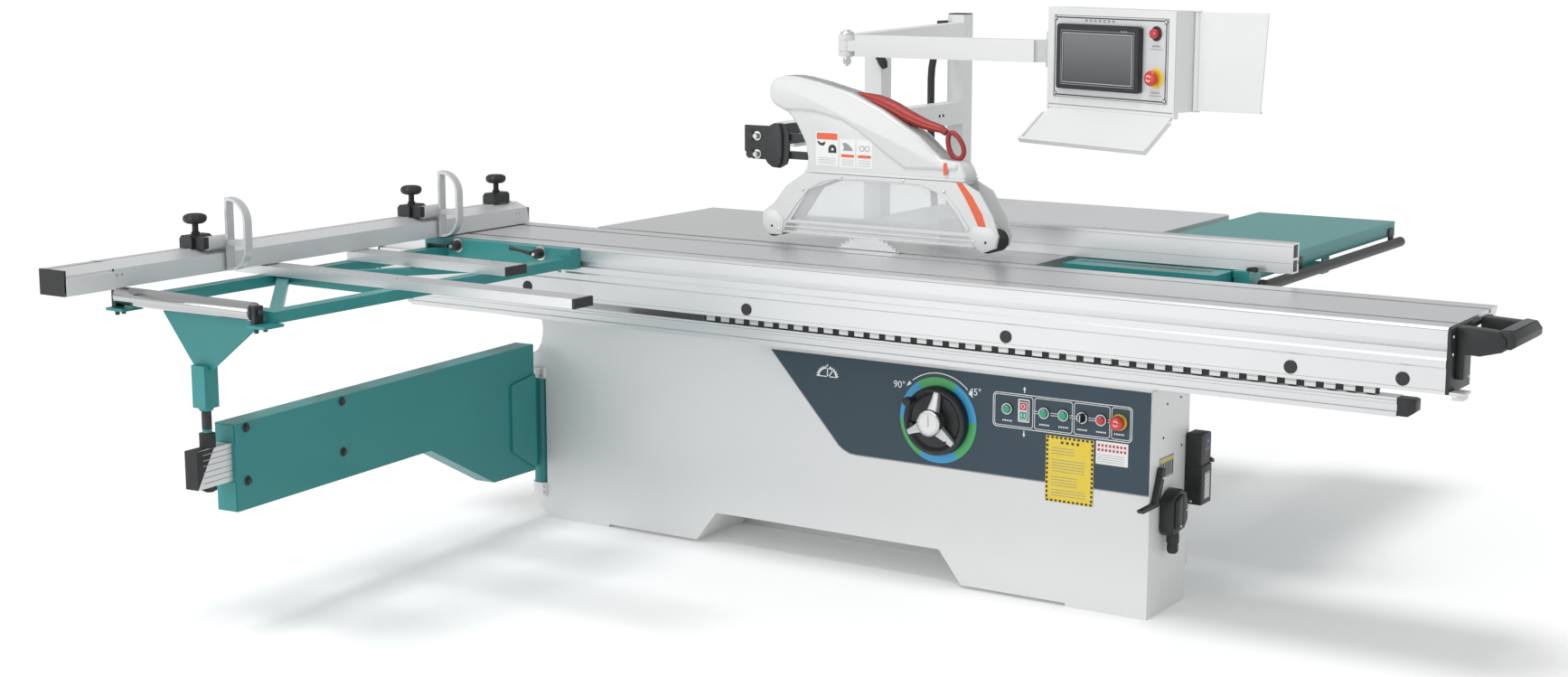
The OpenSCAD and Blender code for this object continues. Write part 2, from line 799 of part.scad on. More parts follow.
module fence_section() {
  x1 = fence_x;
  x0 = fence_x - fence_w;
  z = fence_z;
  polygon([[x0, z], [x1, z], [x1, z + fence_h - 15], [x1 - 40, z + fence_h], [x1 - 48, z + fence_h],
           [x1 - 48, z + fence_h - 10], [x1 - 58, z + fence_h - 10], [x1 - 58, z + fence_h],
           [x0, z + fence_h], [x0, z + 30], [x0 + 4, z + 28], [x0 + 4, z + 14], [x0, z + 12]]);
}

module crosscut_fence() {
  len = fence_in - fence_out;
  color("silver") difference() {
    slab_y(fence_out, len) difference() {
      fence_section();
      translate([cavity[0], cavity[2]]) square([cavity[1] - cavity[0], cavity[3] - cavity[2]]);
    }
    rod_z([pivot_x, pivot_y, fence_z - 1], 8, 8 + fit);
  }
  color("black") span([fence_x - fence_w, fence_in, fence_z], [fence_x, fence_in + 8, fence_z + fence_h - 16]);
}

module fence_extension() {
  y1 = fence_out - gap;
  color("silver") {
    slab_y(y1 - head_len, head_len) difference() {
      union() {
        fence_section();
        translate([fence_x - 1, fence_z]) square([13, fence_h - 20]);
      }
      translate([cavity[0], cavity[2]]) square([cavity[1] - cavity[0], cavity[3] - cavity[2]]);
    }
    span([cavity[0] + gap, y1 - head_len, cavity[2] + gap], [cavity[1] - gap, y1 + 600, cavity[3] - gap]);
    span([fence_x - fence_w + 1, y1 - 20, cavity[2] - 3], [fence_x - 1, y1 - 10, cavity[3] + 3]);
  }
  color("black") span([fence_x - fence_w, y1 - head_len - 6, fence_z], [fence_x + 12, y1 - head_len, fence_z + fence_h]);
}

// The clamp block of a flip stop on the fence's top; the first two carry a hinge pin.
module flip_stop(y, hinged) {
  x0 = fence_x - fence_w - 1;
  x1 = fence_x - 34;
  z0 = fence_z + fence_h + gap;
  cx = (x0 + x1) / 2;
  color("black") {
    slab_y(y - stop_half, 2 * stop_half) polygon([[x0, z0], [x1, z0], [x1, z0 + 28], [x1 - 8, z0 + 33],
                                                  [x0 + 8, z0 + 33], [x0, z0 + 24]]);
    span([fence_x - 57.5, y - stop_half, z0 - 9], [fence_x - 48.5, y + stop_half, z0 + 1]);
    rod_z([cx, y, z0 + 32], 34, 7);
    translate([cx, y, z0 + 62]) rotate_extrude()
      polygon([[0, 0], [22, 0], [29, 6], [30, 14], [24, 22], [10, 24], [0, 24]]);
    if (hinged) {
      span([x1 - 1, y - 25, hub_z - 12], [hub_x + 12, y - 7, hub_z + 18]);
      rod_y([hub_x, y - 10, hub_z], 70, 6);
    }
  }
}

// The D-shaped stop plate on its hub; it flips up and over the fence.
module stop_plate(y) {
  x0 = hub_x + hub_r;
  z0 = fence_z + 2;
  h = 189;
  w = 73;
  y0 = y + 44;
  t = 24;
  color("gainsboro") difference() {
    union() {
      rod_y([hub_x, y - 6.5, hub_z], y0 + t - y + 6.5, hub_r);
      slab_y(y0, t) d_outline(x0, z0, w, h);
      span([hub_x, y0, hub_z - 12], [x0 + 6, y0 + t, hub_z + 12]);
    }
    rod_y([hub_x, y - 8, hub_z], y0 + t - y + 10, 6 + fit);
    slab_y(y0 - 1, t + 2) difference() {
      d_outline(x0 + 8, z0 + 8, w - 16, h - 16);
      translate([x0, hub_z - 7]) square([w, 14]);
    }
  }
}

// A D in XZ: flat side at x0, round side towards +X.
module d_outline(x0, z0, w, h) {
  r = w * 0.86;
  translate([x0, z0]) polygon(concat(
    [[0, 0]],
    [for (a = [-90 : 7.5 : 0]) [w - r + r * cos(a), r + r * sin(a)]],
    [for (a = [0 : 7.5 : 90]) [w - r + r * cos(a), h - r + r * sin(a)]],
    [[0, h]]));
}

module flip_stop_1() {
  flip_stop(stop_y[0], true);
}
module flip_stop_2() {
  flip_stop(stop_y[1], true);
}
module flip_stop_3() {
  flip_stop(stop_y[2], false);
}
module stop_plate_1() {
  stop_plate(stop_y[0]);
}
module stop_plate_2() {
  stop_plate(stop_y[1]);
}

// ---- swing arm ----

module swing_arm() {
  s0 = 88;
  h = arm_w / 2;
  t = 4;
  in = h - t;
  mid = tube_z + tube_h / 2;
  hole = [tube_w / 2 + gap, tube_h / 2 + gap];
  color("teal") in_arm() difference() {
    union() {
      slab_x(-h, arm_w) polygon([for (p = [[s0, arm_z1], [arm_len, arm_z1], [arm_len, arm_z0],
                                           [600, arm_z0], [300, 165], [s0, 160]]) [-p[0], p[1]]]);
      // hinge web, gusset and barrel
      slab_x(-9, 12) polygon([[-s0 - 2, 459], [-47, 429], [-20, 429], [-20, 160], [-s0 - 2, 160]]);
      slab_x(h - 1, 7) polygon([[-212, 440], [-212, 240], [-s0, 165], [-s0, 455]]);
      rod_z([0, 0, 106.5], 323, 25);
    }
    slab_x(-in, 2 * in) polygon([for (p = [[s0 + t, arm_z1 - t], [guide_s, arm_z1 - t], [guide_s, arm_z0 + t],
                                           [600, arm_z0 + t], [300, 165 + t], [s0 + t, 160 + t]]) [-p[0], p[1]]]);
    span([-in, -arm_len + 20, arm_z0 + t], [in, -guide_s - 15, arm_z1 - t]);
    span([-hole[0], -arm_len - 1, mid - hole[1]], [hole[0], -guide_s + 1, mid + hole[1]]);
    rod_z([0, 0, 100], 340, 12 + fit);
  }
}

module telescopic_tube() {
  h = tube_w / 2;
  color("silver") in_arm() {
    difference() {
      span([-h, -tube_s1, tube_z], [h, -tube_s0, tube_z + tube_h]);
      span([-h + 4, -tube_s1 - 1, tube_z + 4], [h - 4, -tube_s0 + 1, tube_z + tube_h - 4]);
    }
  }
  color("black") in_arm() {
    span([-h, -tube_s1 - 20, tube_z], [h, -tube_s1, tube_z + tube_h]);
    // nut above the tube, and the stud and nut below it
    rod_z([0, -post_s, tube_z + tube_h], 36 - 0.5, 20);
    rod_z([0, -post_s, tube_z - 16], 16, 12);
    rod_z([0, -post_s, tube_z - 12], 12, 19);
  }
}

// ---- saw unit ----

module tilt_frame() {
  y = lift_y;
  color("dimgray") {
    difference() {
      union() {
        for (x = seg_x) slab_x(x, seg_t) translate([blade_y, tilt_z]) sector(seg_r, seg_r + seg_w, -72, -18);
        span([seg_x[0], y, 640], [seg_x[1] + seg_t, y + plate_t, table_z - 22]);
        rod_y([score_x, blade_y + 15, score_z], lift_y - blade_y - 10, 26);
      }
      span([motor_x - motor_r - 5, y - 1, motor_z - motor_r - 50], [motor_x + motor_r + 5, y + plate_t + 1, table_z - 21]);
      rod_y([score_x, blade_y + 10, score_z], lift_y - blade_y + 20, 10 + fit);
      // the trunnions pass through the plate
      for (x = seg_x) slab_x(x - 1, seg_t + 2) translate([blade_y, tilt_z]) circle(seg_r);
    }
  }
}

module saw_carriage() {
  y0 = lift_y - 14;
  y1 = lift_y - gap;
  color("darkgray") difference() {
    union() {
      span([20, y0, 695], [289, y1, 836]);
      span([42, blade_y + 62, blade_z - 44], [160, blade_y + 115, blade_z + 44]);
      span([42, blade_y + 62, blade_z - 44], [56, y0 + 1, blade_z + 44]);
      rod_y([blade_x, blade_y + 15, blade_z], 60, 36);
      rod_y([motor_x, y1 - 1, motor_z], 181, motor_r);
      rod_y([motor_x, y1 + 179, motor_z], 22, motor_r - 8);
      span([motor_x - 30, y1 + 40, motor_z - motor_r - 15], [motor_x + 30, y1 + 120, motor_z - motor_r + 20]);
    }
    rod_y([blade_x, blade_y, blade_z], 140, arbor_r + fit);
    rod_y([motor_x, y0 - 1, motor_z], 46, 12 + fit);
  }
}

module saw_blade() {
  y = blade_y;
  step = 360 / teeth;
  color("lightgray") {
    difference() {
      slab_y(y - kerf / 2, kerf) translate([blade_x, blade_z])
        polygon([for (i = [0 : teeth - 1]) each [
          blade_r * [cos(i * step), sin(i * step)],
          (blade_r - 9) * [cos((i + 0.15) * step), sin((i + 0.15) * step)],
          (blade_r - 7) * [cos((i + 0.6) * step), sin((i + 0.6) * step)]]]);
      rod_y([blade_x, y - 5, blade_z], 10, arbor_r);
    }
    rod_y([blade_x, y - kerf / 2 - 14, blade_z], 135.5, arbor_r);
    rod_y([blade_x, y + kerf / 2, blade_z], 10, 45);
    rod_y([blade_x, y - kerf / 2 - 6, blade_z], 6, 45);
    rod_y([blade_x, y - kerf / 2 - 13, blade_z], 8, 22);
    rod_y([blade_x, belt_y - 4, blade_z], 22, pulley_r[0]);
  }
}

module scoring_blade() {
  y = blade_y;
  color("lightgray") {
    rod_y([score_x, y - 1.5, score_z], 3, score_r);
    rod_y([score_x, y - 8, score_z], lift_y - y, 10);
    rod_y([score_x, y + 1.5, score_z], 8, 24);
    rod_y([score_x, y - 7, score_z], 6, 24);
  }
}

module motor_pulley() {
  color("silver") {
    rod_y([motor_x, belt_y - 4, motor_z], 60, 12);
    rod_y([motor_x, belt_y - 4, motor_z], 22, pulley_r[1]);
  }
}

module drive_belt() {
  t = 5;
  color("black") slab_y(belt_y, 14) difference() {
    hull() {
      translate([blade_x, blade_z]) circle(pulley_r[0] + t + gap);
      translate([motor_x, motor_z]) circle(pulley_r[1] + t + gap);
    }
    hull() {
      translate([blade_x, blade_z]) circle(pulley_r[0] + gap);
      translate([motor_x, motor_z]) circle(pulley_r[1] + gap);
    }
  }
}

// ---- blade guard ----

module guard_shell() {
  outer = [[-203, 1322], [-194, 1348], [-158, 1364], [-98, 1361], [-39, 1350], [63, 1325], [164, 1282],
           [235, 1241], [277, 1218], [319, 1182], [347, 1159], [405, 1152], [425, 1115], [420, guard_z],
           [-83, guard_z], [-77, 1140], [-86, 1182], [-113, 1230], [-149, 1267], [-182, 1280], [-200, 1300]];
  inner = [[-180, 1320], [-150, 1350], [-98, 1350], [63, 1312], [230, 1232], [310, 1178], [345, 1148],
           [395, 1142], [412, 1112], [410, guard_z - 1], [-140, guard_z - 1], [-140, 1222], [-114, 1236],
           [-140, 1278], [-175, 1295]];
  color("white") difference() {
    slab_y(blade_y - guard_half, 2 * guard_half) polygon(outer);
    slab_y(blade_y - guard_half + wall, 2 * (guard_half - wall)) polygon(inner);
  }
  color("silver") for (p = arm_pins)
    rod_y([p[0] + arm_reach, blade_y - guard_half + wall - 1, p[1]], 2 * (guard_half - wall) + 2, pin_r);
}

// The outline of the guard's lower frame, and of the window in it.
frame_outline = [[-222, 950], [-218, 985], [-185, 1008], [-143, 1060], [-83, guard_z - gap], [420, guard_z - gap],
                 [468, 1075], [508, 1014], [527, 962], [520, 930], [480, 915], [452, 935], [440, 958],
                 [-143, 958], [-160, 920], [-205, 920]];
window_outline = [[-130, 965], [-68, 1052], [20, 1085], [284, 1085], [362, 1060], [430, 975], [430, 965]];

module guard_arch() {
  color("white") {
    for (y = [blade_y - guard_half, blade_y + guard_half - wall]) slab_y(y, wall) difference() {
      polygon(frame_outline);
      polygon(window_outline);
    }
    span([-70, blade_y - guard_half, guard_z - 8], [415, blade_y + guard_half, guard_z - gap]);
    for (x = guard_roller_x)
      rod_y([x, blade_y - guard_half + 1, guard_roller_z], 2 * guard_half - 2, pin_r);
  }
}

module guard_window() {
  color("lightblue", 0.35) for (y = [blade_y - guard_half + 1.5, blade_y + guard_half - wall + 1.5])
    slab_y(y, 3) polygon(window_outline);
}

module guard_handle() {
  color("firebrick") slab_y(blade_y - 14, 28) difference() {
    polygon([[44, 1330.5], [96, 1326], [168, 1307], [239, 1283], [318, 1257], [338, 1243], [380, 1216],
             [402, 1185], [391, 1154.5], [372, 1156.8], [358, 1171], [344, 1199], [324, 1223], [268, 1224],
             [236, 1241.3], [165, 1282.3], [64, 1325.5]]);
    polygon([[355, 1210], [375, 1205], [388, 1185], [382, 1170], [373, 1170], [362, 1188]]);
  }
}

// A parallelogram arm of the guard, from pin p.
module guard_arm(p) {
  y = blade_y - 20;
  t = 26;
  color("black") difference() {
    union() {
      span([p[0], y, p[1] - 10], [p[0] + arm_reach, y + t, p[1] + 10]);
      for (dx = [0, arm_reach]) rod_y([p[0] + dx, y, p[1]], t, 12);
    }
    for (dx = [0, arm_reach]) rod_y([p[0] + dx, y - 1, p[1]], t + 2, pin_r + fit);
  }
}

module guard_arm_upper() {
  guard_arm(arm_pins[0]);
}
module guard_arm_lower() {
  guard_arm(arm_pins[1]);
}

module guard_roller(x) {
  y = blade_y - guard_half + wall + gap;
  color("black") difference() {
    rod_y([x, y, guard_roller_z], 2 * (guard_half - wall - gap), guard_roller_r);
    rod_y([x, y - 1, guard_roller_z], 2 * guard_half, pin_r + fit);
  }
}

module guard_roller_left() {
  guard_roller(guard_roller_x[0]);
}
module guard_roller_right() {
  guard_roller(guard_roller_x[1]);
}

// ---- boom and control box ----

// Swivel centre in the row's frame.
function swivel_at() = let (c = cos(box_turn), s = sin(box_turn))
  [box_corner[0] + c * swivel[0] - s * swivel[1], box_corner[1] + s * swivel[0] + c * swivel[1]];

module boom_arm() {
  h = boom_hinge;
  s = swivel_at();
  z1 = boom_z + boom_h;
  color("white") {
    difference() {
      union() {
        rod_z([h[0], h[1], boom_z + 14 + gap], boom_h - 28 - 2 * gap, 25);
        span([h[0], h[1] - 20, boom_z + 14 + gap], [h[0] + 60, h[1] + 20, z1 - 14 - gap]);
        span([h[0] + 40, h[1] - 25, boom_z], [s[0] - 30, h[1] + 25, z1]);
        hull() {
          span([s[0] - 32, h[1] - 15, boom_z], [s[0] - 31, h[1] + 25, z1]);
          rod_z([s[0], s[1], boom_z], boom_h, 18);
        }
      }
      rod_z([h[0], h[1], boom_z - 1], boom_h + 2, 10 + fit);
      rod_z([s[0], s[1], boom_z - 1], boom_h + 2, 8 + fit);
    }
  }
}

module control_box() {
  w = cbox_w;
  s = swivel;
  z = boom_z - box_corner[2];
  color("white") in_box() {
    difference() {
      span([0, 0, 0], [w, cbox_d, cbox_h]);
      span([3, 3, 3], [w - 3, cbox_d - 3, cbox_h - 3]);
      span([25, -1, 20], [w - 25, 4, cbox_h - 20]);
    }
    // fork ears and the swivel pin
    for (zz = [z - 14 - gap, z + boom_h + gap]) {
      rod_z([s[0], s[1], zz], 14, 18);
      span([s[0], s[1] - 18, zz], [1, s[1] + 18, zz + 14]);
    }
    rod_z([s[0], s[1], z - 8], boom_h + 16, 8);
    // ears and pins of the shelf's hinge, and lugs of the side panel's hinge
    for (x = [0, w - 5.5]) span([x, 0, -16], [x + 5.5, 16, 1]);
    for (x = [4, w - 12]) rod_x([x, 8, -8], 8, 4);
    for (zz = [0, cbox_h - 2.5]) span([w - 1, cbox_d - 16, zz], [w + 16, cbox_d, zz + 2.5]);
  }
}

module screen_panel() {
  w = cbox_w;
  color("lightgray") in_box() difference() {
    union() {
      span([25.5, -2, 20.5], [w - 25.5, 3, cbox_h - 20.5]);
      span([52, -14, 45], [360, 0, 212]);
      rod_y([w - 66, -16, cbox_h - 58], 14.5, 12);
    }
    rod_y([w - 66, -20, 85], 40, 10 + play);
  }
}

module box_stop_button() {
  color("red") in_box() {
    mushroom([cbox_w - 66, -2, 85], 14);
    rod_y([cbox_w - 66, 3.8, 85], 6, 15);
  }
}

module keyboard_shelf() {
  color("white") in_box() {
    // a barrel under the box's lower edge, with the shelf sloping down from it
    difference() {
      union() {
        translate([0, 8, -8]) rotate([shelf_slope, 0, 0]) {
          span([9, -30, -6], [cbox_w - 9, -2, 1]);
          span([0, -shelf_d - 8, -6], [cbox_w, -24, 1]);
          span([0, -shelf_d - 8, -6], [cbox_w, -shelf_d, 9]);
          for (x = [0, cbox_w - 6]) span([x, -shelf_d - 7, 0], [x + 6, -32, 7]);
        }
        rod_x([6, 8, -8], cbox_w - 12, 7.5);
      }
      for (x = [5, cbox_w - 15]) rod_x([x, 8, -8], 10, 4 + fit);
    }
  }
}

module wing_panel() {
  w = cbox_w;
  h = cbox_h - 6;
  color("white") {
    translate([box_corner[0], box_corner[1], box_corner[2]]) rotate([0, 0, box_turn])
      translate([w + 8, cbox_d - 8, 3]) rotate([0, 0, 18]) {
        slab_y(-2, 6) polygon([[0, 0], [178, 0], [192, h], [0, h]]);
        span([0, -2, 0], [178, 14, 5]);
        rod_z([0, 0, 0], h, 7.5);
      }
  }
}

// ---- rip fence ----

module rip_fence() {
  z = table_z + gap;
  t = 42;
  color("silver") slab_x(rip_left, rip_len) difference() {
    polygon([[rip_y, z], [rip_y + 8, z], [rip_y + t, z], [rip_y + t, z + 20], [rip_y + t - 6, z + 26],
             [rip_y + t, z + 32], [rip_y + t, z + rip_h], [rip_y, z + rip_h]]);
    translate([rip_y + 4, z + 4]) square([t - 14, 30]);
    translate([rip_y + 4, z + 40]) square([t - 12, rip_h - 44]);
  }
}

module rip_carriage() {
  y0 = carriage_y;
  y1 = carriage_y + 80;
  x0 = side_left + side_w + 4;
  color("teal") difference() {
    union() {
      span([x0, y0, bar_z0 - 26], [bar_x + 26, y1, table_z]);
      span([x0, rip_y + 2, table_z - 1], [rip_left + rip_len - 30, rip_y + 40, table_z + gap]);
      rod_x([bar_x + 25, y0 + 40, bar_z0 - 4], 20, 16);
    }
    rod_y([bar_x, y0 - 1, bar_z0], 82, bar_r + fit);
    span([x0 - 1, y0 - 1, bar_z0 - 8], [bar_x - 8, y1 + 1, bar_z0 + 8]);
    span([x0 - 1, y0 - 1, bar_z0 - 8], [side_left + side_w + 7, y1 + 1, table_z - 18]);
  }
}

front_cabinet();
rear_chassis();
slide_rail();
cast_table();
rear_extension();
side_extension();
gantry_frame();
conduit();
guard_bracket();
electrical_boxes();
rip_bar();
arm_hinge();
handwheel();
start_button();
rocker_switch();
saw_button();
scoring_button();
selector_knob();
stop_button();
emergency_stop();
sliding_table();
table_handle();
roller_cage();
outrigger_frame();
support_bars();
roller_brackets();
clamp_lever_left();
clamp_lever_right();
support_roller();
crosscut_fence();
fence_extension();
flip_stop_1();
flip_stop_2();
flip_stop_3();
stop_plate_1();
stop_plate_2();
swing_arm();
telescopic_tube();
tilt_frame();
saw_carriage();
saw_blade();
scoring_blade();
motor_pulley();
drive_belt();
guard_shell();
guard_arch();
guard_window();
guard_handle();
guard_arm_upper();
guard_arm_lower();
guard_roller_left();
guard_roller_right();
boom_arm();
control_box();
screen_panel();
keyboard_shelf();
wing_panel();
box_stop_button();
rip_fence();
rip_carriage();
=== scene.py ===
import json
import math

import bmesh
import bpy
from mathutils import Matrix, Vector


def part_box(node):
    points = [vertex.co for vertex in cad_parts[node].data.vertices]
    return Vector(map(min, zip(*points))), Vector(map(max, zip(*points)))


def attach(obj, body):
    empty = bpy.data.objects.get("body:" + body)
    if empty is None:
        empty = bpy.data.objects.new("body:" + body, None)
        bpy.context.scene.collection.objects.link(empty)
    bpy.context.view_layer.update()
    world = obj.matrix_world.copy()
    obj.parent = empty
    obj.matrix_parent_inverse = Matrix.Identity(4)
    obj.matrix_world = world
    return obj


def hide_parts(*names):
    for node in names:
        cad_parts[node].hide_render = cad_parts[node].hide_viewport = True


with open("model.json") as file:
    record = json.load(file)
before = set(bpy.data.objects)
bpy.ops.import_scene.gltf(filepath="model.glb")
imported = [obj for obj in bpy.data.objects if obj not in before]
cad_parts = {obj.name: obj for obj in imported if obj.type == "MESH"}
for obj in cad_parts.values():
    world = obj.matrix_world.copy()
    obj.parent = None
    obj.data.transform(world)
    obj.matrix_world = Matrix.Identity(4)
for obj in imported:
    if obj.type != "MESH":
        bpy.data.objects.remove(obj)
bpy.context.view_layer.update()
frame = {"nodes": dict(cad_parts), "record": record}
nodes = frame["nodes"]
print("frame loaded:", len(nodes), "nodes")


def metres(*values):
    return Vector([value / 1000 for value in values])


# camera and stage

view = dict(place=(3.3727, -5.6231, 1.7421), turn=(80.13, 0, 33.28), lens=52.9)
cameraData = bpy.data.cameras.new("camera")
cameraData.lens = view["lens"]
cameraData.sensor_width = 36
cameraData.clip_end = 200
camera = bpy.data.objects.new("camera", cameraData)
camera.location = view["place"]
camera.rotation_euler = [math.radians(angle) for angle in view["turn"]]
bpy.context.scene.collection.objects.link(camera)
bpy.context.scene.camera = camera
bpy.context.scene.view_settings.view_transform = "Standard"

studio = bpy.data.worlds.new("studio")
bpy.context.scene.world = studio
studio.use_nodes = True
studio.node_tree.nodes["Background"].inputs["Color"].default_value = (1, 1, 1, 1)
studio.node_tree.nodes["Background"].inputs["Strength"].default_value = 0.62


def addSoftbox(name, place, aim, size, power):
    lampData = bpy.data.lights.new(name, "AREA")
    lampData.shape = "RECTANGLE"
    lampData.size, lampData.size_y = size
    lampData.energy = power
    lamp = bpy.data.objects.new(name, lampData)
    lamp.location = place
    lamp.rotation_euler = (Vector(aim) - Vector(place)).to_track_quat("-Z", "Y").to_euler()
    bpy.context.scene.collection.objects.link(lamp)


addSoftbox("keyLight", (-2.6, -6.4, 2.2), (0.1, 0, 0.5), (5, 2.4), 90)

sunData = bpy.data.lights.new("highSun", "SUN")
sunData.energy = 1.4
sunData.angle = math.radians(16)
highSun = bpy.data.objects.new("highSun", sunData)
highSun.rotation_euler = Vector((-0.1, -0.42, 1)).to_track_quat("Z", "Y").to_euler()
bpy.context.scene.collection.objects.link(highSun)


# materials: grain in the bump, mottle in colour and roughness

def mixColour(colour, factor):
    return tuple(min(1.0, channel * factor) for channel in colour[:3]) + (1,)


def makeFinish(name, colour, rough, metal=0.0, grain=(500, 500, 500), bump=0.08,
               depth=0.0004, mottle=0.05, mottleScale=4.0, spread=0.06, coat=0.0, spots=None,
               alpha=1.0):
    material = bpy.data.materials.new(name)
    material.use_nodes = True
    tree = material.node_tree
    shader = tree.nodes["Principled BSDF"]
    shader.inputs["Metallic"].default_value = metal
    shader.inputs["Coat Weight"].default_value = coat
    shader.inputs["Alpha"].default_value = alpha
    place = tree.nodes.new("ShaderNodeTexCoord").outputs["Object"]

    def addNoise(scale, stretch, detail):
        mapping = tree.nodes.new("ShaderNodeMapping")
        mapping.inputs["Scale"].default_value = stretch
        noise = tree.nodes.new("ShaderNodeTexNoise")
        noise.inputs["Scale"].default_value = scale
        noise.inputs["Detail"].default_value = detail
        tree.links.new(place, mapping.inputs["Vector"])
        tree.links.new(mapping.outputs["Vector"], noise.inputs["Vector"])
        return noise.outputs["Fac"]

    grainNoise = addNoise(1.0, grain, 3.0)
    mottleNoise = addNoise(mottleScale, (1, 1, 1), 5.0)
    colours = tree.nodes.new("ShaderNodeMix")
    colours.data_type = "RGBA"
    colours.inputs["A"].default_value = mixColour(colour, 1 - mottle)
    colours.inputs["B"].default_value = mixColour(colour, 1 + mottle)
    tree.links.new(mottleNoise, colours.inputs["Factor"])
    surface = colours.outputs["Result"]
    if spots:
        speckle = tree.nodes.new("ShaderNodeMapRange")
        speckle.inputs["From Min"].default_value = spots["above"]
        speckle.inputs["From Max"].default_value = spots["above"] + 0.06
        tree.links.new(addNoise(spots["scale"], (1, 1, 1), 2.0), speckle.inputs["Value"])
        layer = tree.nodes.new("ShaderNodeMix")
        layer.data_type = "RGBA"
        layer.inputs["B"].default_value = spots["colour"] + (1,)
        tree.links.new(speckle.outputs["Result"], layer.inputs["Factor"])
        tree.links.new(surface, layer.inputs["A"])
        surface = layer.outputs["Result"]
    tree.links.new(surface, shader.inputs["Base Color"])
    roughness = tree.nodes.new("ShaderNodeMapRange")
    roughness.inputs["To Min"].default_value = max(0.03, rough - spread)
    roughness.inputs["To Max"].default_value = min(1.0, rough + spread)
    roughNoise = tree.nodes.new("ShaderNodeMix")
    roughNoise.inputs["Factor"].default_value = 0.5
    tree.links.new(mottleNoise, roughNoise.inputs["A"])
    tree.links.new(grainNoise, roughNoise.inputs["B"])
    tree.links.new(roughNoise.outputs["Result"], roughness.inputs["Value"])
    tree.links.new(roughness.outputs["Result"], shader.inputs["Roughness"])
    relief = tree.nodes.new("ShaderNodeBump")
    relief.inputs["Strength"].default_value = bump
    relief.inputs["Distance"].default_value = depth
    tree.links.new(grainNoise, relief.inputs["Height"])
    tree.links.new(relief.outputs["Normal"], shader.inputs["Normal"])
    return material


peel = dict(grain=(260, 260, 260), bump=0.35, depth=0.0003)
whitePowder = makeFinish("whitePowder", (0.74, 0.75, 0.75), 0.42, mottle=0.02, coat=0.12, **peel)
# guard white, also used for the painted highlights on the curtain's ridges
guardWhiteAndHighlight = makeFinish("guardWhiteAndHighlight", (0.7, 0.71, 0.71), 0.3, mottle=0.015, coat=0.3, bump=0.1,
                        grain=(60, 60, 60))
tealPowder = makeFinish("tealPowder", (0.016, 0.225, 0.222), 0.44, mottle=0.06, coat=0.15, **peel)
slatePlate = makeFinish("slatePlate", (0.028, 0.056, 0.08), 0.5, mottle=0.05, coat=0.0,
                        grain=(900, 900, 900), bump=0.12)
alongX = makeFinish("anodisedAlongX", (0.66, 0.67, 0.68), 0.34, 0.75, grain=(6, 900, 900),
                    bump=0.14, mottle=0.03, spread=0.1)
alongY = makeFinish("anodisedAlongY", (0.72, 0.73, 0.74), 0.4, 0.5, grain=(900, 6, 900),
                    bump=0.14, mottle=0.03, spread=0.1)
extensionSheet = makeFinish("extensionSheet", (0.66, 0.67, 0.68), 0.4, 0.55, grain=(14, 700, 700),
                            bump=0.1, mottle=0.04)
groundIron = makeFinish("groundIron", (0.62, 0.63, 0.635), 0.3, 0.7, grain=(1100, 12, 500),
                        bump=0.22, mottle=0.08, spread=0.12)
ringAluminium = makeFinish("ringAluminium", (0.62, 0.63, 0.64), 0.34, 0.5, grain=(420, 420, 420),
                           bump=0.2, mottle=0.03)
machinedSteel = makeFinish("machinedSteel", (0.55, 0.56, 0.57), 0.28, 0.95, grain=(30, 900, 30),
                           bump=0.2, mottle=0.08, spread=0.1)
chromePlate = makeFinish("chromePlate", (0.5, 0.505, 0.51), 0.1, 1.0, grain=(40, 900, 900),
                         bump=0.03, mottle=0.04, spread=0.04)
zincBolt = makeFinish("zincBolt", (0.62, 0.63, 0.62), 0.3, 0.9, grain=(900, 900, 900), mottle=0.1)
blackPlastic = makeFinish("blackPlastic", (0.016, 0.018, 0.019), 0.46, grain=(1400, 1400, 1400),
                          bump=0.3, mottle=0.2, spots=dict(scale=900, above=0.66,
                                                           colour=(0.05, 0.052, 0.055)))
# black paint, also used as painted shade: the table's slots, its near edge and the band under the side
# table
blackPaintAndShade = makeFinish("blackPaintAndShade", (0.028, 0.03, 0.032), 0.5, mottle=0.15, **peel)
softBlack = makeFinish("softBlack", (0.02, 0.021, 0.022), 0.7, grain=(700, 700, 700), bump=0.4,
                       mottle=0.2)
hoseRubber = makeFinish("hoseRubber", (0.018, 0.02, 0.021), 0.55, grain=(30, 30, 420), bump=0.5,
                        depth=0.001, mottle=0.15)
redMushroom = makeFinish("redMushroom", (0.62, 0.035, 0.02), 0.28, mottle=0.08, coat=0.4)
redBoot = makeFinish("redBoot", (0.33, 0.028, 0.03), 0.55, grain=(240, 240, 240), bump=0.5,
                     mottle=0.16, mottleScale=30, coat=0.05)
orangeTape = makeFinish("orangeTape", (0.78, 0.13, 0.05), 0.42, grain=(400, 400, 400), mottle=0.08,
                        mottleScale=60)
yellowFoil = makeFinish("yellowFoil", (0.82, 0.62, 0.05), 0.42, mottle=0.04, mottleScale=20)
whiteFoil = makeFinish("whiteFoil", (0.82, 0.83, 0.83), 0.38, mottle=0.02, mottleScale=20)
whiteInk = makeFinish("whiteInk", (0.85, 0.86, 0.86), 0.5, mottle=0.03, mottleScale=60)
blackInk = makeFinish("blackInk", (0.03, 0.03, 0.035), 0.5, mottle=0.1, mottleScale=60)
greyInk = makeFinish("greyInk", (0.3, 0.31, 0.32), 0.5, mottle=0.1, mottleScale=60)
greenRing = makeFinish("greenRing", (0.055, 0.42, 0.12), 0.36, mottle=0.04, coat=0.2)
blueRing = makeFinish("blueRing", (0.03, 0.33, 0.62), 0.36, mottle=0.04, coat=0.2)
greenLens = makeFinish("greenLens", (0.01, 0.33, 0.2), 0.16, mottle=0.1, mottleScale=80, coat=0.6)
redLens = makeFinish("redLens", (0.5, 0.02, 0.03), 0.16, mottle=0.1, mottleScale=80, coat=0.6)
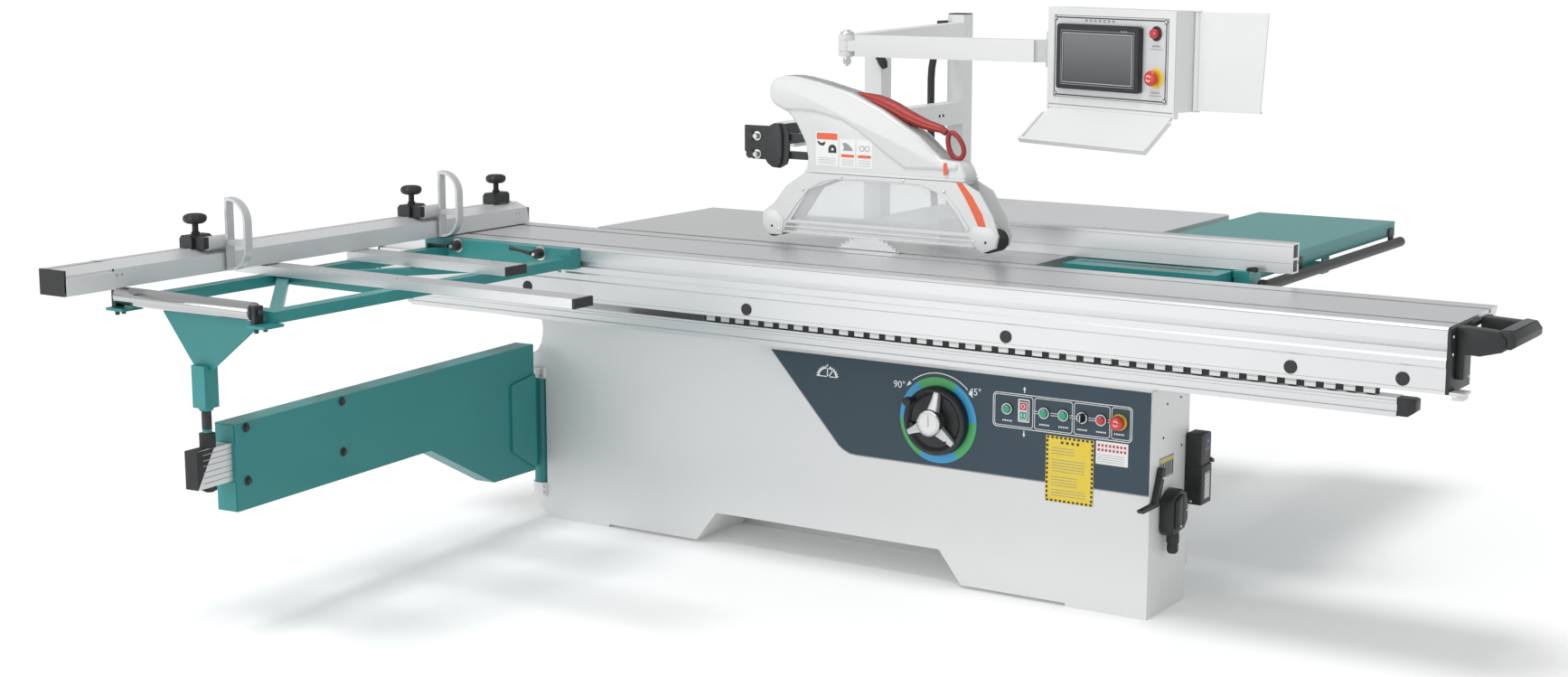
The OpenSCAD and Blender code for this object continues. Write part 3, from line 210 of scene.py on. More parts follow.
motorPaint = makeFinish("motorPaint", (0.1, 0.105, 0.11), 0.5, 0.2, mottle=0.1, **peel)
clearSheet = makeFinish("clearSheet", (0.86, 0.89, 0.9), 0.08, grain=(3, 3, 3), bump=0.05,
                        mottle=0.02, spread=0.03, coat=0.3, alpha=0.26)
consoleGrey = makeFinish("consoleGrey", (0.66, 0.68, 0.69), 0.35, 0.3, grain=(900, 900, 14),
                         bump=0.1, mottle=0.02)
paleFloor = makeFinish("paleFloor", (0.92, 0.92, 0.92), 0.85, grain=(4, 4, 4), bump=0.02,
                       mottle=0.004)
paleFloor.node_tree.nodes["Principled BSDF"].inputs["Emission Color"].default_value = (1, 1, 1, 1)
paleFloor.node_tree.nodes["Principled BSDF"].inputs["Emission Strength"].default_value = 0.1


# Screen glass whose colour ramps from near black at the bottom to grey at the top: a painted
# reflection.
def makeScreenGlassWithReflection(low, high):
    material = makeFinish("reflectedScreenGlass", (0.05, 0.05, 0.05), 0.12, mottle=0.05, coat=0.5)
    tree = material.node_tree
    place = tree.nodes.new("ShaderNodeTexCoord")
    parts = tree.nodes.new("ShaderNodeSeparateXYZ")
    reflectionHeight = tree.nodes.new("ShaderNodeMapRange")
    reflectionHeight.inputs["From Min"].default_value = low
    reflectionHeight.inputs["From Max"].default_value = high
    reflectionRamp = tree.nodes.new("ShaderNodeValToRGB")
    reflectionRamp.color_ramp.elements[0].color = (0.012, 0.014, 0.016, 1)
    reflectionRamp.color_ramp.elements[1].color = (0.17, 0.175, 0.18, 1)
    tree.links.new(place.outputs["Object"], parts.inputs["Vector"])
    tree.links.new(parts.outputs["Z"], reflectionHeight.inputs["Value"])
    tree.links.new(reflectionHeight.outputs["Result"], reflectionRamp.inputs["Fac"])
    tree.links.new(reflectionRamp.outputs["Color"], tree.nodes["Principled BSDF"].inputs["Base Color"])
    return material


reflectedScreenGlass = makeScreenGlassWithReflection(1.34, 1.51)

floorMesh = bpy.data.meshes.new("floor")
floorMesh.from_pydata([(-90, -90, 0), (90, -90, 0), (90, 90, 0), (-90, 90, 0)], [], [(0, 1, 2, 3)])
floorMesh.materials.append(paleFloor)
floor = bpy.data.objects.new("floor", floorMesh)
bpy.context.scene.collection.objects.link(floor)
print("stage and materials ready")


# finishes of the frame's own parts

def dress(node, material, *areas):
    mesh = nodes[node].data
    mesh.materials.clear()
    mesh.materials.append(material)
    for extra, test in areas:
        mesh.materials.append(extra)
    for face in mesh.polygons:
        face.material_index = 0
        middle = face.center * 1000
        for number, (extra, test) in enumerate(areas):
            if test(middle):
                face.material_index = number + 1


slots = {row["node"]: row["material_slot"] for row in frame["record"]["subparts"]}
finishes = {
    "white_paint": whitePowder, "teal_paint": tealPowder, "anodised": alongX,
    "ground_iron": groundIron, "machined_steel": machinedSteel, "chrome_plate": chromePlate,
    "black_plastic": blackPlastic, "red_plastic": redMushroom, "red_rubber": redBoot,
    "green_plastic": greenLens, "clear_window": clearSheet, "black_paint": blackPaintAndShade,
    "motor_paint": motorPaint, "belt_rubber": softBlack, "panel_plate": consoleGrey,
}
for node, slot in slots.items():
    dress(node, finishes[slot])

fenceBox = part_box("crosscut_fence")
cageBox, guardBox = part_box("roller_cage"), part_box("guard_arch")
cagePitch = 48
cageLeft, cageRight, cageFront = cageBox[0].x * 1000, cageBox[1].x * 1000, cageBox[0].y * 1000
dress("roller_cage", softBlack)
dress("crosscut_fence", alongY, (softBlack, lambda p: p.y > fenceBox[1].y * 1000 - 8.5))
dress("fence_extension", alongY, (softBlack, lambda p: p.y < -2002))
dress("rear_extension", extensionSheet)
dress("stop_plate_1", ringAluminium)
dress("stop_plate_2", ringAluminium)
dress("conduit", hoseRubber)
# the rip bar's black paint also stands in for the dark band of shade under the side table
dress("rip_bar", blackPaintAndShade)
dress("guard_shell", guardWhiteAndHighlight)
dress("guard_arch", guardWhiteAndHighlight)
dress("guard_roller_left", softBlack)
dress("guard_roller_right", softBlack)
dress("stop_button", redLens)
dress("telescopic_tube", alongY, (softBlack, lambda p: p.y < -1768 or p.z > 498 or p.z < 399))
dress("saw_blade", machinedSteel)


# mesh helpers, all sizes in millimetres

def addPiece(name, bm, material, body, smooth=None, cleanUp=True):
    if cleanUp:
        bmesh.ops.remove_doubles(bm, verts=bm.verts, dist=1e-6)
        bmesh.ops.recalc_face_normals(bm, faces=bm.faces)
    mesh = bpy.data.meshes.new(name)
    bm.to_mesh(mesh)
    bm.free()
    mesh.materials.append(material)
    if smooth:
        mesh.shade_smooth()
        mesh.set_sharp_from_angle(angle=math.radians(smooth))
    piece = bpy.data.objects.new(name, mesh)
    bpy.context.scene.collection.objects.link(piece)
    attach(piece, body)
    return piece


def onFace(axis, level):
    if axis == "y":
        return lambda a, b: (a, level, b)
    if axis == "x":
        return lambda a, b: (level, a, b)
    return lambda a, b: (a, b, level)


def addOutline(bm, points, axis, start, end):
    low, high = onFace(axis, start), onFace(axis, end)
    first = [bm.verts.new(metres(*low(a, b))) for a, b in points]
    last = [bm.verts.new(metres(*high(a, b))) for a, b in points]
    bm.faces.new(first)
    bm.faces.new(list(reversed(last)))
    for i in range(len(points)):
        j = (i + 1) % len(points)
        bm.faces.new((first[i], last[i], last[j], first[j]))
    return first + last


def bevelSharp(bm, width, segments=2, limit=30):
    bmesh.ops.remove_doubles(bm, verts=bm.verts, dist=1e-6)
    bmesh.ops.recalc_face_normals(bm, faces=bm.faces)
    sharp = [edge for edge in bm.edges if len(edge.link_faces) == 2
             and edge.calc_face_angle(0) > math.radians(limit)]
    bmesh.ops.bevel(bm, geom=sharp, offset=width / 1000, segments=segments, profile=0.5,
                    affect="EDGES", clamp_overlap=True)


def addProfile(name, points, axis, start, end, material, body, bevel=0, segments=2,
               smooth=40, limit=30):
    bm = bmesh.new()
    addOutline(bm, points, axis, start, end)
    if bevel:
        bevelSharp(bm, bevel, segments, limit)
    return addPiece(name, bm, material, body, smooth)


def addBlock(name, low, high, material, body, bevel=1.0):
    points = [(low[0], low[1]), (high[0], low[1]), (high[0], high[1]), (low[0], high[1])]
    return addProfile(name, points, "z", low[2], high[2], material, body, bevel)


def turned(bm, centre, axis, profile, steps=40):
    direction = Vector(axis).normalized()
    side = direction.orthogonal().normalized()
    up = direction.cross(side)
    rings = []
    for radius, height in profile:
        middle = metres(*centre) + direction * height / 1000
        rings.append([bm.verts.new(middle + (side * math.cos(t) + up * math.sin(t)) * radius / 1000)
                      for t in [2 * math.pi * k / steps for k in range(steps)]])
    for a, b in zip(rings, rings[1:]):
        for k in range(steps):
            bm.faces.new((a[k], a[(k + 1) % steps], b[(k + 1) % steps], b[k]))
    bm.faces.new(rings[0])
    bm.faces.new(list(reversed(rings[-1])))


def addTurned(name, centre, axis, profile, material, body, steps=40, smooth=35):
    bm = bmesh.new()
    turned(bm, centre, axis, profile, steps)
    return addPiece(name, bm, material, body, smooth)


def sweepTube(bm, points, radii, steps=16, closed=False):
    path = [metres(*point) for point in points]
    count = len(path)
    rings = []
    side = None
    for i, point in enumerate(path):
        before = path[i - 1] if closed or i else path[0]
        after = path[(i + 1) % count] if closed or i < count - 1 else path[-1]
        along = (after - before).normalized()
        side = (along.orthogonal() if side is None else side - along * side.dot(along)).normalized()
        up = along.cross(side)
        ring = []
        for k in range(steps):
            t = 2 * math.pi * k / steps
            ring.append(bm.verts.new(point + (side * math.cos(t) + up * math.sin(t)) * radii[i] / 1000))
        rings.append(ring)
    pairs = list(zip(rings, rings[1:])) + ([(rings[-1], rings[0])] if closed else [])
    for a, b in pairs:
        for k in range(steps):
            bm.faces.new((a[k], a[(k + 1) % steps], b[(k + 1) % steps], b[k]))
    if not closed:
        bm.faces.new(rings[0])
        bm.faces.new(list(reversed(rings[-1])))


def addTube(name, points, radii, steps, material, body, smooth, closed=False):
    bm = bmesh.new()
    sweepTube(bm, points, radii, steps, closed)
    return addPiece(name, bm, material, body, smooth)


def flatShape(name, loops, axis, level, depth, material, body):
    curve = bpy.data.curves.new(name, "CURVE")
    curve.dimensions = "2D"
    curve.fill_mode = "BOTH"
    curve.extrude = abs(depth) / 2000
    for loop in loops:
        spline = curve.splines.new("POLY")
        spline.points.add(len(loop) - 1)
        spline.use_cyclic_u = True
        for point, (a, b) in zip(spline.points, loop):
            point.co = (a / 1000, b / 1000, 0, 1)
    holder = bpy.data.objects.new(name, curve)
    bpy.context.scene.collection.objects.link(holder)
    graph = bpy.context.evaluated_depsgraph_get()
    mesh = bpy.data.meshes.new_from_object(holder.evaluated_get(graph))
    bpy.data.objects.remove(holder)
    middle = (level + depth / 2) / 1000
    if axis == "y":
        mesh.transform(Matrix(((1, 0, 0, 0), (0, 0, -1, middle), (0, 1, 0, 0), (0, 0, 0, 1))))
    elif axis == "x":
        mesh.transform(Matrix(((0, 0, 1, middle), (1, 0, 0, 0), (0, 1, 0, 0), (0, 0, 0, 1))))
    else:
        mesh.transform(Matrix.Translation((0, 0, middle)))
    bm = bmesh.new()
    bm.from_mesh(mesh)
    return addPiece(name, bm, material, body)


def circlePoints(x, z, radius, steps=32, start=0.0, end=360.0):
    whole = abs(end - start) >= 360
    count = steps if whole else steps + 1
    return [(x + radius * math.cos(math.radians(start + (end - start) * k / steps)),
             z + radius * math.sin(math.radians(start + (end - start) * k / steps)))
            for k in range(count)]


def rectPoints(x0, z0, x1, z1, corner=0.0):
    if not corner:
        return [(x0, z0), (x1, z0), (x1, z1), (x0, z1)]
    points = []
    for cx, cz, start in ((x1 - corner, z0 + corner, -90), (x1 - corner, z1 - corner, 0),
                          (x0 + corner, z1 - corner, 90), (x0 + corner, z0 + corner, 180)):
        points += circlePoints(cx, cz, corner, 5, start, start + 90)
    return points


def arcBand(x, z, inner, outer, start, end, steps=14):
    return circlePoints(x, z, outer, steps, start, end) + circlePoints(x, z, inner, steps, end,
        start)


# a Geometry Nodes tree that sets one fitting on every point

def makeFittingTree(name, sides, material):
    tree = bpy.data.node_groups.new(name, "GeometryNodeTree")
    face = tree.interface
    face.new_socket("Geometry", in_out="INPUT", socket_type="NodeSocketGeometry")
    face.new_socket("Radius", in_out="INPUT", socket_type="NodeSocketFloat")
    face.new_socket("Height", in_out="INPUT", socket_type="NodeSocketFloat")
    face.new_socket("Turn", in_out="INPUT", socket_type="NodeSocketVector")
    face.new_socket("Taper", in_out="INPUT", socket_type="NodeSocketFloat")
    face.new_socket("Geometry", in_out="OUTPUT", socket_type="NodeSocketGeometry")
    start, end = tree.nodes.new("NodeGroupInput"), tree.nodes.new("NodeGroupOutput")
    head = tree.nodes.new("GeometryNodeMeshCone")
    head.inputs["Vertices"].default_value = sides
    topRadius = tree.nodes.new("ShaderNodeMath")
    topRadius.operation = "MULTIPLY"
    place = tree.nodes.new("GeometryNodeInstanceOnPoints")
    real = tree.nodes.new("GeometryNodeRealizeInstances")
    paint = tree.nodes.new("GeometryNodeSetMaterial")
    paint.inputs["Material"].default_value = material
    link = tree.links.new
    link(start.outputs["Radius"], head.inputs["Radius Bottom"])
    link(start.outputs["Radius"], topRadius.inputs[0])
    link(start.outputs["Taper"], topRadius.inputs[1])
    link(topRadius.outputs[0], head.inputs["Radius Top"])
    link(start.outputs["Height"], head.inputs["Depth"])
    link(start.outputs["Geometry"], place.inputs["Points"])
    link(head.outputs["Mesh"], place.inputs["Instance"])
    link(start.outputs["Turn"], place.inputs["Rotation"])
    link(place.outputs["Instances"], real.inputs["Geometry"])
    link(real.outputs["Geometry"], paint.inputs["Geometry"])
    link(paint.outputs["Geometry"], end.inputs["Geometry"])
    return tree


def makeTickTree(name, material):
    tree = bpy.data.node_groups.new(name, "GeometryNodeTree")
    face = tree.interface
    face.new_socket("Geometry", in_out="INPUT", socket_type="NodeSocketGeometry")
    face.new_socket("Count", in_out="INPUT", socket_type="NodeSocketInt")
    for label in ("Start", "Step", "Mark"):
        face.new_socket(label, in_out="INPUT", socket_type="NodeSocketVector")
    face.new_socket("Geometry", in_out="OUTPUT", socket_type="NodeSocketGeometry")
    start, end = tree.nodes.new("NodeGroupInput"), tree.nodes.new("NodeGroupOutput")
    line = tree.nodes.new("GeometryNodeMeshLine")
    mark = tree.nodes.new("GeometryNodeMeshCube")
    place = tree.nodes.new("GeometryNodeInstanceOnPoints")
    real = tree.nodes.new("GeometryNodeRealizeInstances")
    paint = tree.nodes.new("GeometryNodeSetMaterial")
    paint.inputs["Material"].default_value = material
    link = tree.links.new
    link(start.outputs["Count"], line.inputs["Count"])
    link(start.outputs["Start"], line.inputs["Start Location"])
    link(start.outputs["Step"], line.inputs["Offset"])
    link(start.outputs["Mark"], mark.inputs["Size"])
    link(line.outputs["Mesh"], place.inputs["Points"])
    link(mark.outputs["Mesh"], place.inputs["Instance"])
    link(place.outputs["Instances"], real.inputs["Geometry"])
    link(real.outputs["Geometry"], paint.inputs["Geometry"])
    link(paint.outputs["Geometry"], end.inputs["Geometry"])
    return tree


def growPiece(name, mesh, tree, values, material, body):
    seed = bpy.data.objects.new(name, mesh)
    bpy.context.scene.collection.objects.link(seed)
    modifier = seed.modifiers.new("grow", "NODES")
    modifier.node_group = tree
    for socket in tree.interface.items_tree:
        if socket.name in values:
            modifier[socket.identifier] = values[socket.name]
    graph = bpy.context.evaluated_depsgraph_get()
    grown = bpy.data.meshes.new_from_object(seed.evaluated_get(graph))
    bpy.data.objects.remove(seed)
    bm = bmesh.new()
    bm.from_mesh(grown)
    return addPiece(name, bm, material, body, cleanUp=False)


def addFittings(name, points, axis, radius, height, material, body, sides=6, taper=0.86):
    mesh = bpy.data.meshes.new(name)
    towards = Vector(axis).normalized()
    mesh.from_pydata([metres(*point) for point in points], [], [])
    turn = towards.to_track_quat("Z", "Y").to_euler()
    values = dict(Radius=radius / 1000, Height=height / 1000, Turn=tuple(turn), Taper=taper)
    return growPiece(name, mesh, makeFittingTree(name, sides, material), values, material, body)


def addTicks(name, start, step, mark, count, material, body):
    mesh = bpy.data.meshes.new(name)
    mesh.from_pydata([(0, 0, 0)], [], [])
    values = dict(Count=count, Start=tuple(metres(*start)), Step=tuple(metres(*step)),
                  Mark=tuple(metres(*mark)))
    return growPiece(name, mesh, makeTickTree(name, material), values, material, body)


# control panel

panel = dict(face=-300.0, thick=1.2, top=600, right=998, bottom=331, left=-162)
wheel = dict(x=377, z=458, ring=(95, 118), plane=-334)
switches = dict(z=514, start=587, rocker=637, saw=696, scoring=752, selector=806, stop=860,
                emergency=911)


panelSizes = dict(
    sawSignArrow=[(22.4, 540), (25.6, 540), (25.6, 566), (30, 566), (24, 577), (18, 566),
                  (22.4, 566)],
    sawSignTilt=[(25, 540), (29, 540), (44, 560), (41, 562)],
)


def buildPanel():
    body, slot = "base", "panel_plate"
    outer = [(panel["left"], panel["top"]), (50, 366), (62, 352), (78, 341), (98, 333),
             (120, panel["bottom"]),
             (panel["right"], panel["bottom"]), (panel["right"], panel["top"])]
    holes = [circlePoints(wheel["x"], wheel["z"], 11.5)]
    for key in ("start", "saw", "scoring", "selector", "stop", "emergency"):
        holes.append(circlePoints(switches[key], switches["z"], 12.2))
    x, z = switches["rocker"], switches["z"]
    holes.append(rectPoints(x - 14, z - 27, x + 14, z + 27))
    face = panel["face"] - panel["thick"]
    flatShape("panelPlate", [outer] + holes, "y", panel["face"], -panel["thick"], slatePlate, body)
    paleEdge = [(panel["left"] - 4, panel["top"]), (47, 363), (60, 349), (77, 337.5), (98, 329.5),
                (120, panel["bottom"] - 3.5), (panel["right"], panel["bottom"] - 3.5)]
    inside = [(panel["right"], panel["bottom"])] + [(a, b) for a,
                                                    b in reversed(outer[1:6])] + [outer[0]]
    flatShape("panelEdge", [paleEdge + inside], "y", panel["face"], -0.6, greyInk, body)

    # coloured ring round the handwheel, arrow and dial numbers
    inner, rim = wheel["ring"]
    for number, (start, end) in enumerate(((62, 122), (2, 62), (-58, 2), (-118, -58), (-178, -118),
                                           (-238, -178))):
        name = "ringGreen" if number % 2 == 0 else "ringBlue"
        flatShape(f"{name}{number}", [arcBand(wheel["x"], wheel["z"], inner, rim, start, end)],
                  "y", face, -0.7, greenRing if number % 2 == 0 else blueRing, body)
    cx, cz = wheel["x"], wheel["z"]
    flatShape("tiltArrow", [arcBand(cx, cz, 128, 130.6, 46, 128, 24)], "y", face, -0.5, whiteInk,
              body)
    for side, angle in (("Right", 42), ("Left", 132)):
        turn = math.radians(angle)
        along = -1 if side == "Right" else 1
        tip = turn + along * 0.14
        shape = [(cx + 129.3 * math.cos(tip), cz + 129.3 * math.sin(tip)),
                 (cx + 124 * math.cos(turn), cz + 124 * math.sin(turn)),
                 (cx + 134.6 * math.cos(turn), cz + 134.6 * math.sin(turn))]
        flatShape("tiltArrow" + side, [shape], "y", face, -0.5, whiteInk, body)
    addText("dialNinety", "90°", 27, (256, face - 0.5, 543), whiteInk, body)
    addText("dialFortyFive", "45°", 27, (490, face - 0.5, 547), whiteInk, body)

    # saw sign: a toothed half disc with an arrow
    teeth = []
    for k in range(14):
        a, b = math.radians(k * 180 / 14), math.radians((k + 0.75) * 180 / 14)
        teeth += [(24 + 31 * math.cos(a), 540 + 27 * math.sin(a)),
                  (24 + 38 * math.cos(b), 540 + 33 * math.sin(b))]
    teeth.append((24 - 31, 540))
    flatShape("sawSign", [teeth, [(24 + 26 * math.cos(math.radians(t)),
                                   542.5 + 21 * math.sin(math.radians(t))) for t in range(0, 181,
                                       12)]],
              "y", face, -0.5, whiteInk, body)
    flatShape("sawSignArrow", [panelSizes["sawSignArrow"]],
              "y", face, -0.5, whiteInk, body)
    flatShape("sawSignTilt", [panelSizes["sawSignTilt"]], "y", face, -0.5, whiteInk, body)

    # frames round the groups of switches
    frames = dict(supply=(549, 663), saws=(667, 778), power=(782, 885), emergency=(889, 943))
    z0, z1 = 468, 552
    loops = [rectPoints(544, 463, 948, 557, 12), rectPoints(546, 465, 946, 555, 11)]
    flatShape("switchFrame", loops, "y", face, -0.4, whiteInk, body)
    for name, (x0, x1) in frames.items():
        flatShape("frame" + name.title(), [rectPoints(x0, z0, x1, z1, 7),
                                           rectPoints(x0 + 1.6, z0 + 1.6, x1 - 1.6, z1 - 1.6, 6)],
                  "y", face, -0.4, whiteInk, body)
    for name, x0, x1 in (("A", 664, 681), ("B", 711, 737), ("C", 767, 789), ("D", 823, 845),
                         ("E", 875, 890)):
        flatShape("switchLink" + name, [rectPoints(x0, 515, x1, 516.5),
                                        rectPoints(x0, 509, x1, 510.5)],
                  "y", face, -0.4, whiteInk, body)
    for name, z, up in (("Up", 561, 1), ("Down", 459, -1)):
        x = switches["rocker"]
        shape = [(x - 1.5, z), (x + 1.5, z), (x + 1.5, z + 9 * up), (x + 4.5, z + 9 * up),
                 (x, z + 17 * up),
                 (x - 4.5, z + 9 * up), (x - 1.5, z + 9 * up)]
        flatShape("liftArrow" + name, [shape], "y", face, -0.4, whiteInk, body)

    # bezels
    z = switches["z"]
    for key in ("start", "saw", "scoring", "selector", "stop"):
        x = switches[key]
        flatShape("bezelSeat" + key.title(), [circlePoints(x, z, 17.5), circlePoints(x, z, 12.2)],
                  "y", face, -1.2,
                  blackPlastic, body)
        flatShape("bezel" + key.title(), [circlePoints(x, z, 15.4), circlePoints(x, z, 12.3)], "y",
                  face - 1.2, -3.4,
                  chromePlate, body)
    x = switches["rocker"]
    flatShape("bezelRocker", [rectPoints(x - 17, z - 31, x + 17, z + 31, 3),
                              rectPoints(x - 13.6, z - 27, x + 13.6, z + 27)],
              "y", face, -3, machinedSteel, body)
    x = switches["emergency"]
    flatShape("emergencyPlate", [circlePoints(x, z, 21.5), circlePoints(x, z, 12.4)], "y", face,
              -1.5, yellowFoil, body)
    # line marks below the switches, in place of words
    for key in ("start", "saw", "scoring", "selector", "stop", "emergency"):
        addTicks("caption" + key.title(), (switches[key] - 12, face - 0.15, 482), (6, 0, 0),
                 (3.6, 0.3, 4.2), 5, whiteInk, body)
    print("panel built")


def addText(name, words, size, place, material, body, turn=0.0):
    curve = bpy.data.curves.new(name, "FONT")
    curve.body = words
    curve.size = size / 1000
    curve.extrude = 0.0002
    curve.align_x = "CENTER"
    curve.align_y = "CENTER"
    holder = bpy.data.objects.new(name, curve)
    bpy.context.scene.collection.objects.link(holder)
    graph = bpy.context.evaluated_depsgraph_get()
    mesh = bpy.data.meshes.new_from_object(holder.evaluated_get(graph))
    bpy.data.objects.remove(holder)
    mesh.transform(Matrix.Translation(metres(*place)) @ Matrix.Rotation(math.radians(turn), 4, "Z")
                   @ Matrix.Rotation(math.radians(90), 4, "X"))
    bm = bmesh.new()
    bm.from_mesh(mesh)
    return addPiece(name, bm, material, body)


buildPanel()


labelSizes = dict(
    cableHook=[(-255, 399), (-232, 392), (-275, 300), (-370, 300), (-382, 310), (-292, 312)],
)


def buildLabels():
    body, slot = "base", "panel_plate"
    face = panel["face"] - panel["thick"]
    # caution plate: hatched border and plain lines
    x0, z0, x1, z1 = 703, 280, 841, 457
    flatShape("cautionPlate", [rectPoints(x0, z0, x1, z1)], "y", face, -0.6, yellowFoil, body)
    level = face - 0.75
    for name, start, step, mark, count in (
            ("hatchTop", (x0 + 6, level, z1 - 4), (12.6, 0, 0), (7, 0.3, 6), 11),
            ("hatchBottom", (x0 + 6, level, z0 + 4), (12.6, 0, 0), (7, 0.3, 6), 11),
            ("hatchLeft", (x0 + 4, level, z0 + 14), (0, 0, 12.4), (6, 0.3, 7), 13),
            ("hatchRight", (x1 - 4, level, z0 + 14), (0, 0, 12.4), (6, 0.3, 7), 13)):
        addTicks(name, start, step, mark, count, blackInk, body)
    addTicks("cautionHead", ((x0 + x1) / 2 - 22, level, z1 - 16), (15, 0, 0), (7, 0.3, 7), 4,
             blackInk, body)
    for name, x, width, start, count in (("A", 770, 100, 18, 3), ("B", 757, 76, 45, 4),
                                         ("C", 768, 96, 83, 5), ("D", 752, 66, 130, 3)):
        addTicks("cautionLines" + name, (x, level, z0 + start), (0, 0, 7.6), (width, 0.3, 1.6),
                 count, greyInk, body)
    flatShape("noticePlate", [rectPoints(847, 398, 938, 459)], "y", face, -0.5, whiteFoil, body)
    for row, ink in ((448, redLens), (436, redLens)):
        addTicks(f"noticeMarks{row}", (855, face - 0.6, row), (10.6, 0, 0), (6.4, 0.3, 7), 8, ink,
                 body)
    addTicks("noticeLines", (890, face - 0.6, 405), (0, 0, 6), (76, 0.3, 1), 4, greyInk, body)
    # right end: hatched strip, corner cover, cable hook
    side = 1000
    flatShape("sideStrip", [rectPoints(-244, 362, -155, 418)], "x", side, 0.4, greyInk, body)
    addTicks("sideStripYellow", (side + 0.5, -232, 408), (0, 14, 0), (0.3, 10, 9), 6, yellowFoil,
             body)
    addTicks("sideStripBlack", (side + 0.5, -232, 384), (0, 14, 0), (0.3, 5, 34), 6, blackInk, body)
    cover = [(-300, 602), (-155, 602)] + [(-300 + 145 * (1 - math.sin(math.radians(t))),
                                           523 + 79 * math.cos(math.radians(t)))
                                          for t in range(0, 91, 9)]
    flatShape("cornerCover", [cover], "x", side, 1.6, whitePowder, body)
    addProfile("cableHook", labelSizes["cableHook"], "x", side + 0.4, side + 16, blackPlastic, body,
               1.2)
    addFittings("hookScrew", [(side + 17, -256, 372)], (1, 0, 0), 4, 3, zincBolt, body,
                16)
    addFittings("sideScrews", [(side + 0.8, y, z) for y,
                               z in ((-205, 556), (-225, 470), (-120, 560), (-108, 430))],
                (1, 0, 0), 3, 1.6, softBlack, body, 12)
    print("labels and side fittings built")


buildLabels()


# handwheel

handwheelSizes = dict(
    profile=[(30, 2), (60, 2), (72, 1), (76, -4), (82, -9), (88, -9.5), (92.5, -6), (93.8, 0),
             (92, 6), (86, 9.5), (70, 10), (30, 10)],
    wheelShaft=[(30, 14), (30, 32), (9.9, 32.5), (9.9, 221)],
    wheelGear=[(9, 0), (29, 0), (30, 2), (30, 27), (28, 29), (9, 29)],
    wheelCollar=[(9, 0), (18, 0), (18, 11), (9, 11.5)],
    rows=[(30, 15, 0), (48, 12.5, 8), (66, 9.5, 14), (84, 7.5, 17)],
    dialCase=[(37, -4), (37, 4), (35, 8), (33, 8.6), (31.5, 6), (1, 6)],
    wheelGrip=[(8, 0), (9, 6), (8.5, 14), (11, 26), (12.6, 38), (12, 44), (8, 47), (2, 48)],
    wheelKnob=[(7, 0), (7, 8), (5.5, 10), (1, 10.5)],
    wheelLock=[(8, 0), (8, 10), (6, 12), (1, 12.5)],
)


def buildHandwheel():
    body, slot = "tilt_handwheel", "black_plastic"
    x, z, y = wheel["x"], wheel["z"], wheel["plane"]
    bm = bmesh.new()
    profile = handwheelSizes["profile"]
    direction = (0, 1, 0)
    turnedRing(bm, (x, y + 14, z), direction, profile)
    rim = addPiece("wheelRim", bm, blackPlastic, body, 35)
    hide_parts("handwheel")
    addTurned("wheelShaft", (x, y, z), direction, handwheelSizes["wheelShaft"], machinedSteel, body)
    addTurned("wheelGear", (x, -118.5, z), direction, handwheelSizes["wheelGear"], machinedSteel,
              body, 48)
    addTurned("wheelCollar", (x, -293.5, z), direction, handwheelSizes["wheelCollar"],
              machinedSteel, body)
    for number, angle in enumerate((82, 205, 318)):
        bm = bmesh.new()
        t = math.radians(angle)
        along, across = (math.cos(t), math.sin(t)), (-math.sin(t), math.cos(t))
        rows = handwheelSizes["rows"]
        shape = [(r, w) for r, w, h in rows] + [(r, -w) for r, w, h in reversed(rows)]
        heights = [h for r, w, h in rows] + [h for r, w, h in reversed(rows)]
        front = [bm.verts.new(metres(x + along[0] * r + across[0] * w, y - 14 + h * 0.75,
                                     z + along[1] * r + across[1] * w))
                 for (r, w), h in zip(shape, heights)]
        back = [bm.verts.new(metres(x + along[0] * r + across[0] * w, y + 8 + h * 0.4,
                                    z + along[1] * r + across[1] * w))
                for (r, w), h in zip(shape, heights)]
        bm.faces.new(front)
        bm.faces.new(list(reversed(back)))
        for i in range(len(shape)):
            j = (i + 1) % len(shape)
            bm.faces.new((front[i], back[i], back[j], front[j]))
        bevelSharp(bm, 2.0, 2, 25)
        addPiece(f"wheelSpoke{number}", bm, ringAluminium, body, 40)
    addTurned("dialCase", (x, y - 14, z), (0, -1, 0), handwheelSizes["dialCase"], chromePlate, body,
              48)
    addTurned("dialFace", (x, y - 19.5, z), (0, -1, 0), [(31.6, 0), (31.6, 1.6), (1, 1.6)],
              whiteFoil, body, 48)
    level = y - 21.3
    points = []
    for k in range(24):
        a = math.radians(15 * k)
        points.append((x + 27.5 * math.sin(a), level, z + 27.5 * math.cos(a)))
    addFittings("dialDots", points, (0, -1, 0), 0.9, 0.5, blackInk, body, 10, 1.0)
    flatShape("dialNeedle", [[(x - 1, z - 8), (x + 1, z - 8), (x + 0.6, z + 24),
                              (x - 0.6, z + 24)]], "y", level, -0.4, redLens, body)
    addTurned("dialHub", (x, level - 0.2, z), (0, -1, 0), [(3, 0), (3, 1), (1, 1.4)], machinedSteel,
              body, 16)
    addTurned("wheelGrip", (x - 62, y + 12, z + 55), (0, -1, 0),
              handwheelSizes["wheelGrip"], blackPlastic, body, 32)
    addTurned("wheelKnob", (x - 66, y + 10, z - 14), (0, -1, 0), handwheelSizes["wheelKnob"],
              blackPlastic, body, 24)
    addTurned("wheelLock", (x + 40, y + 8, z - 48), (0, -1, 0), handwheelSizes["wheelLock"],
              blackPlastic, body, 24)
    print("handwheel built")


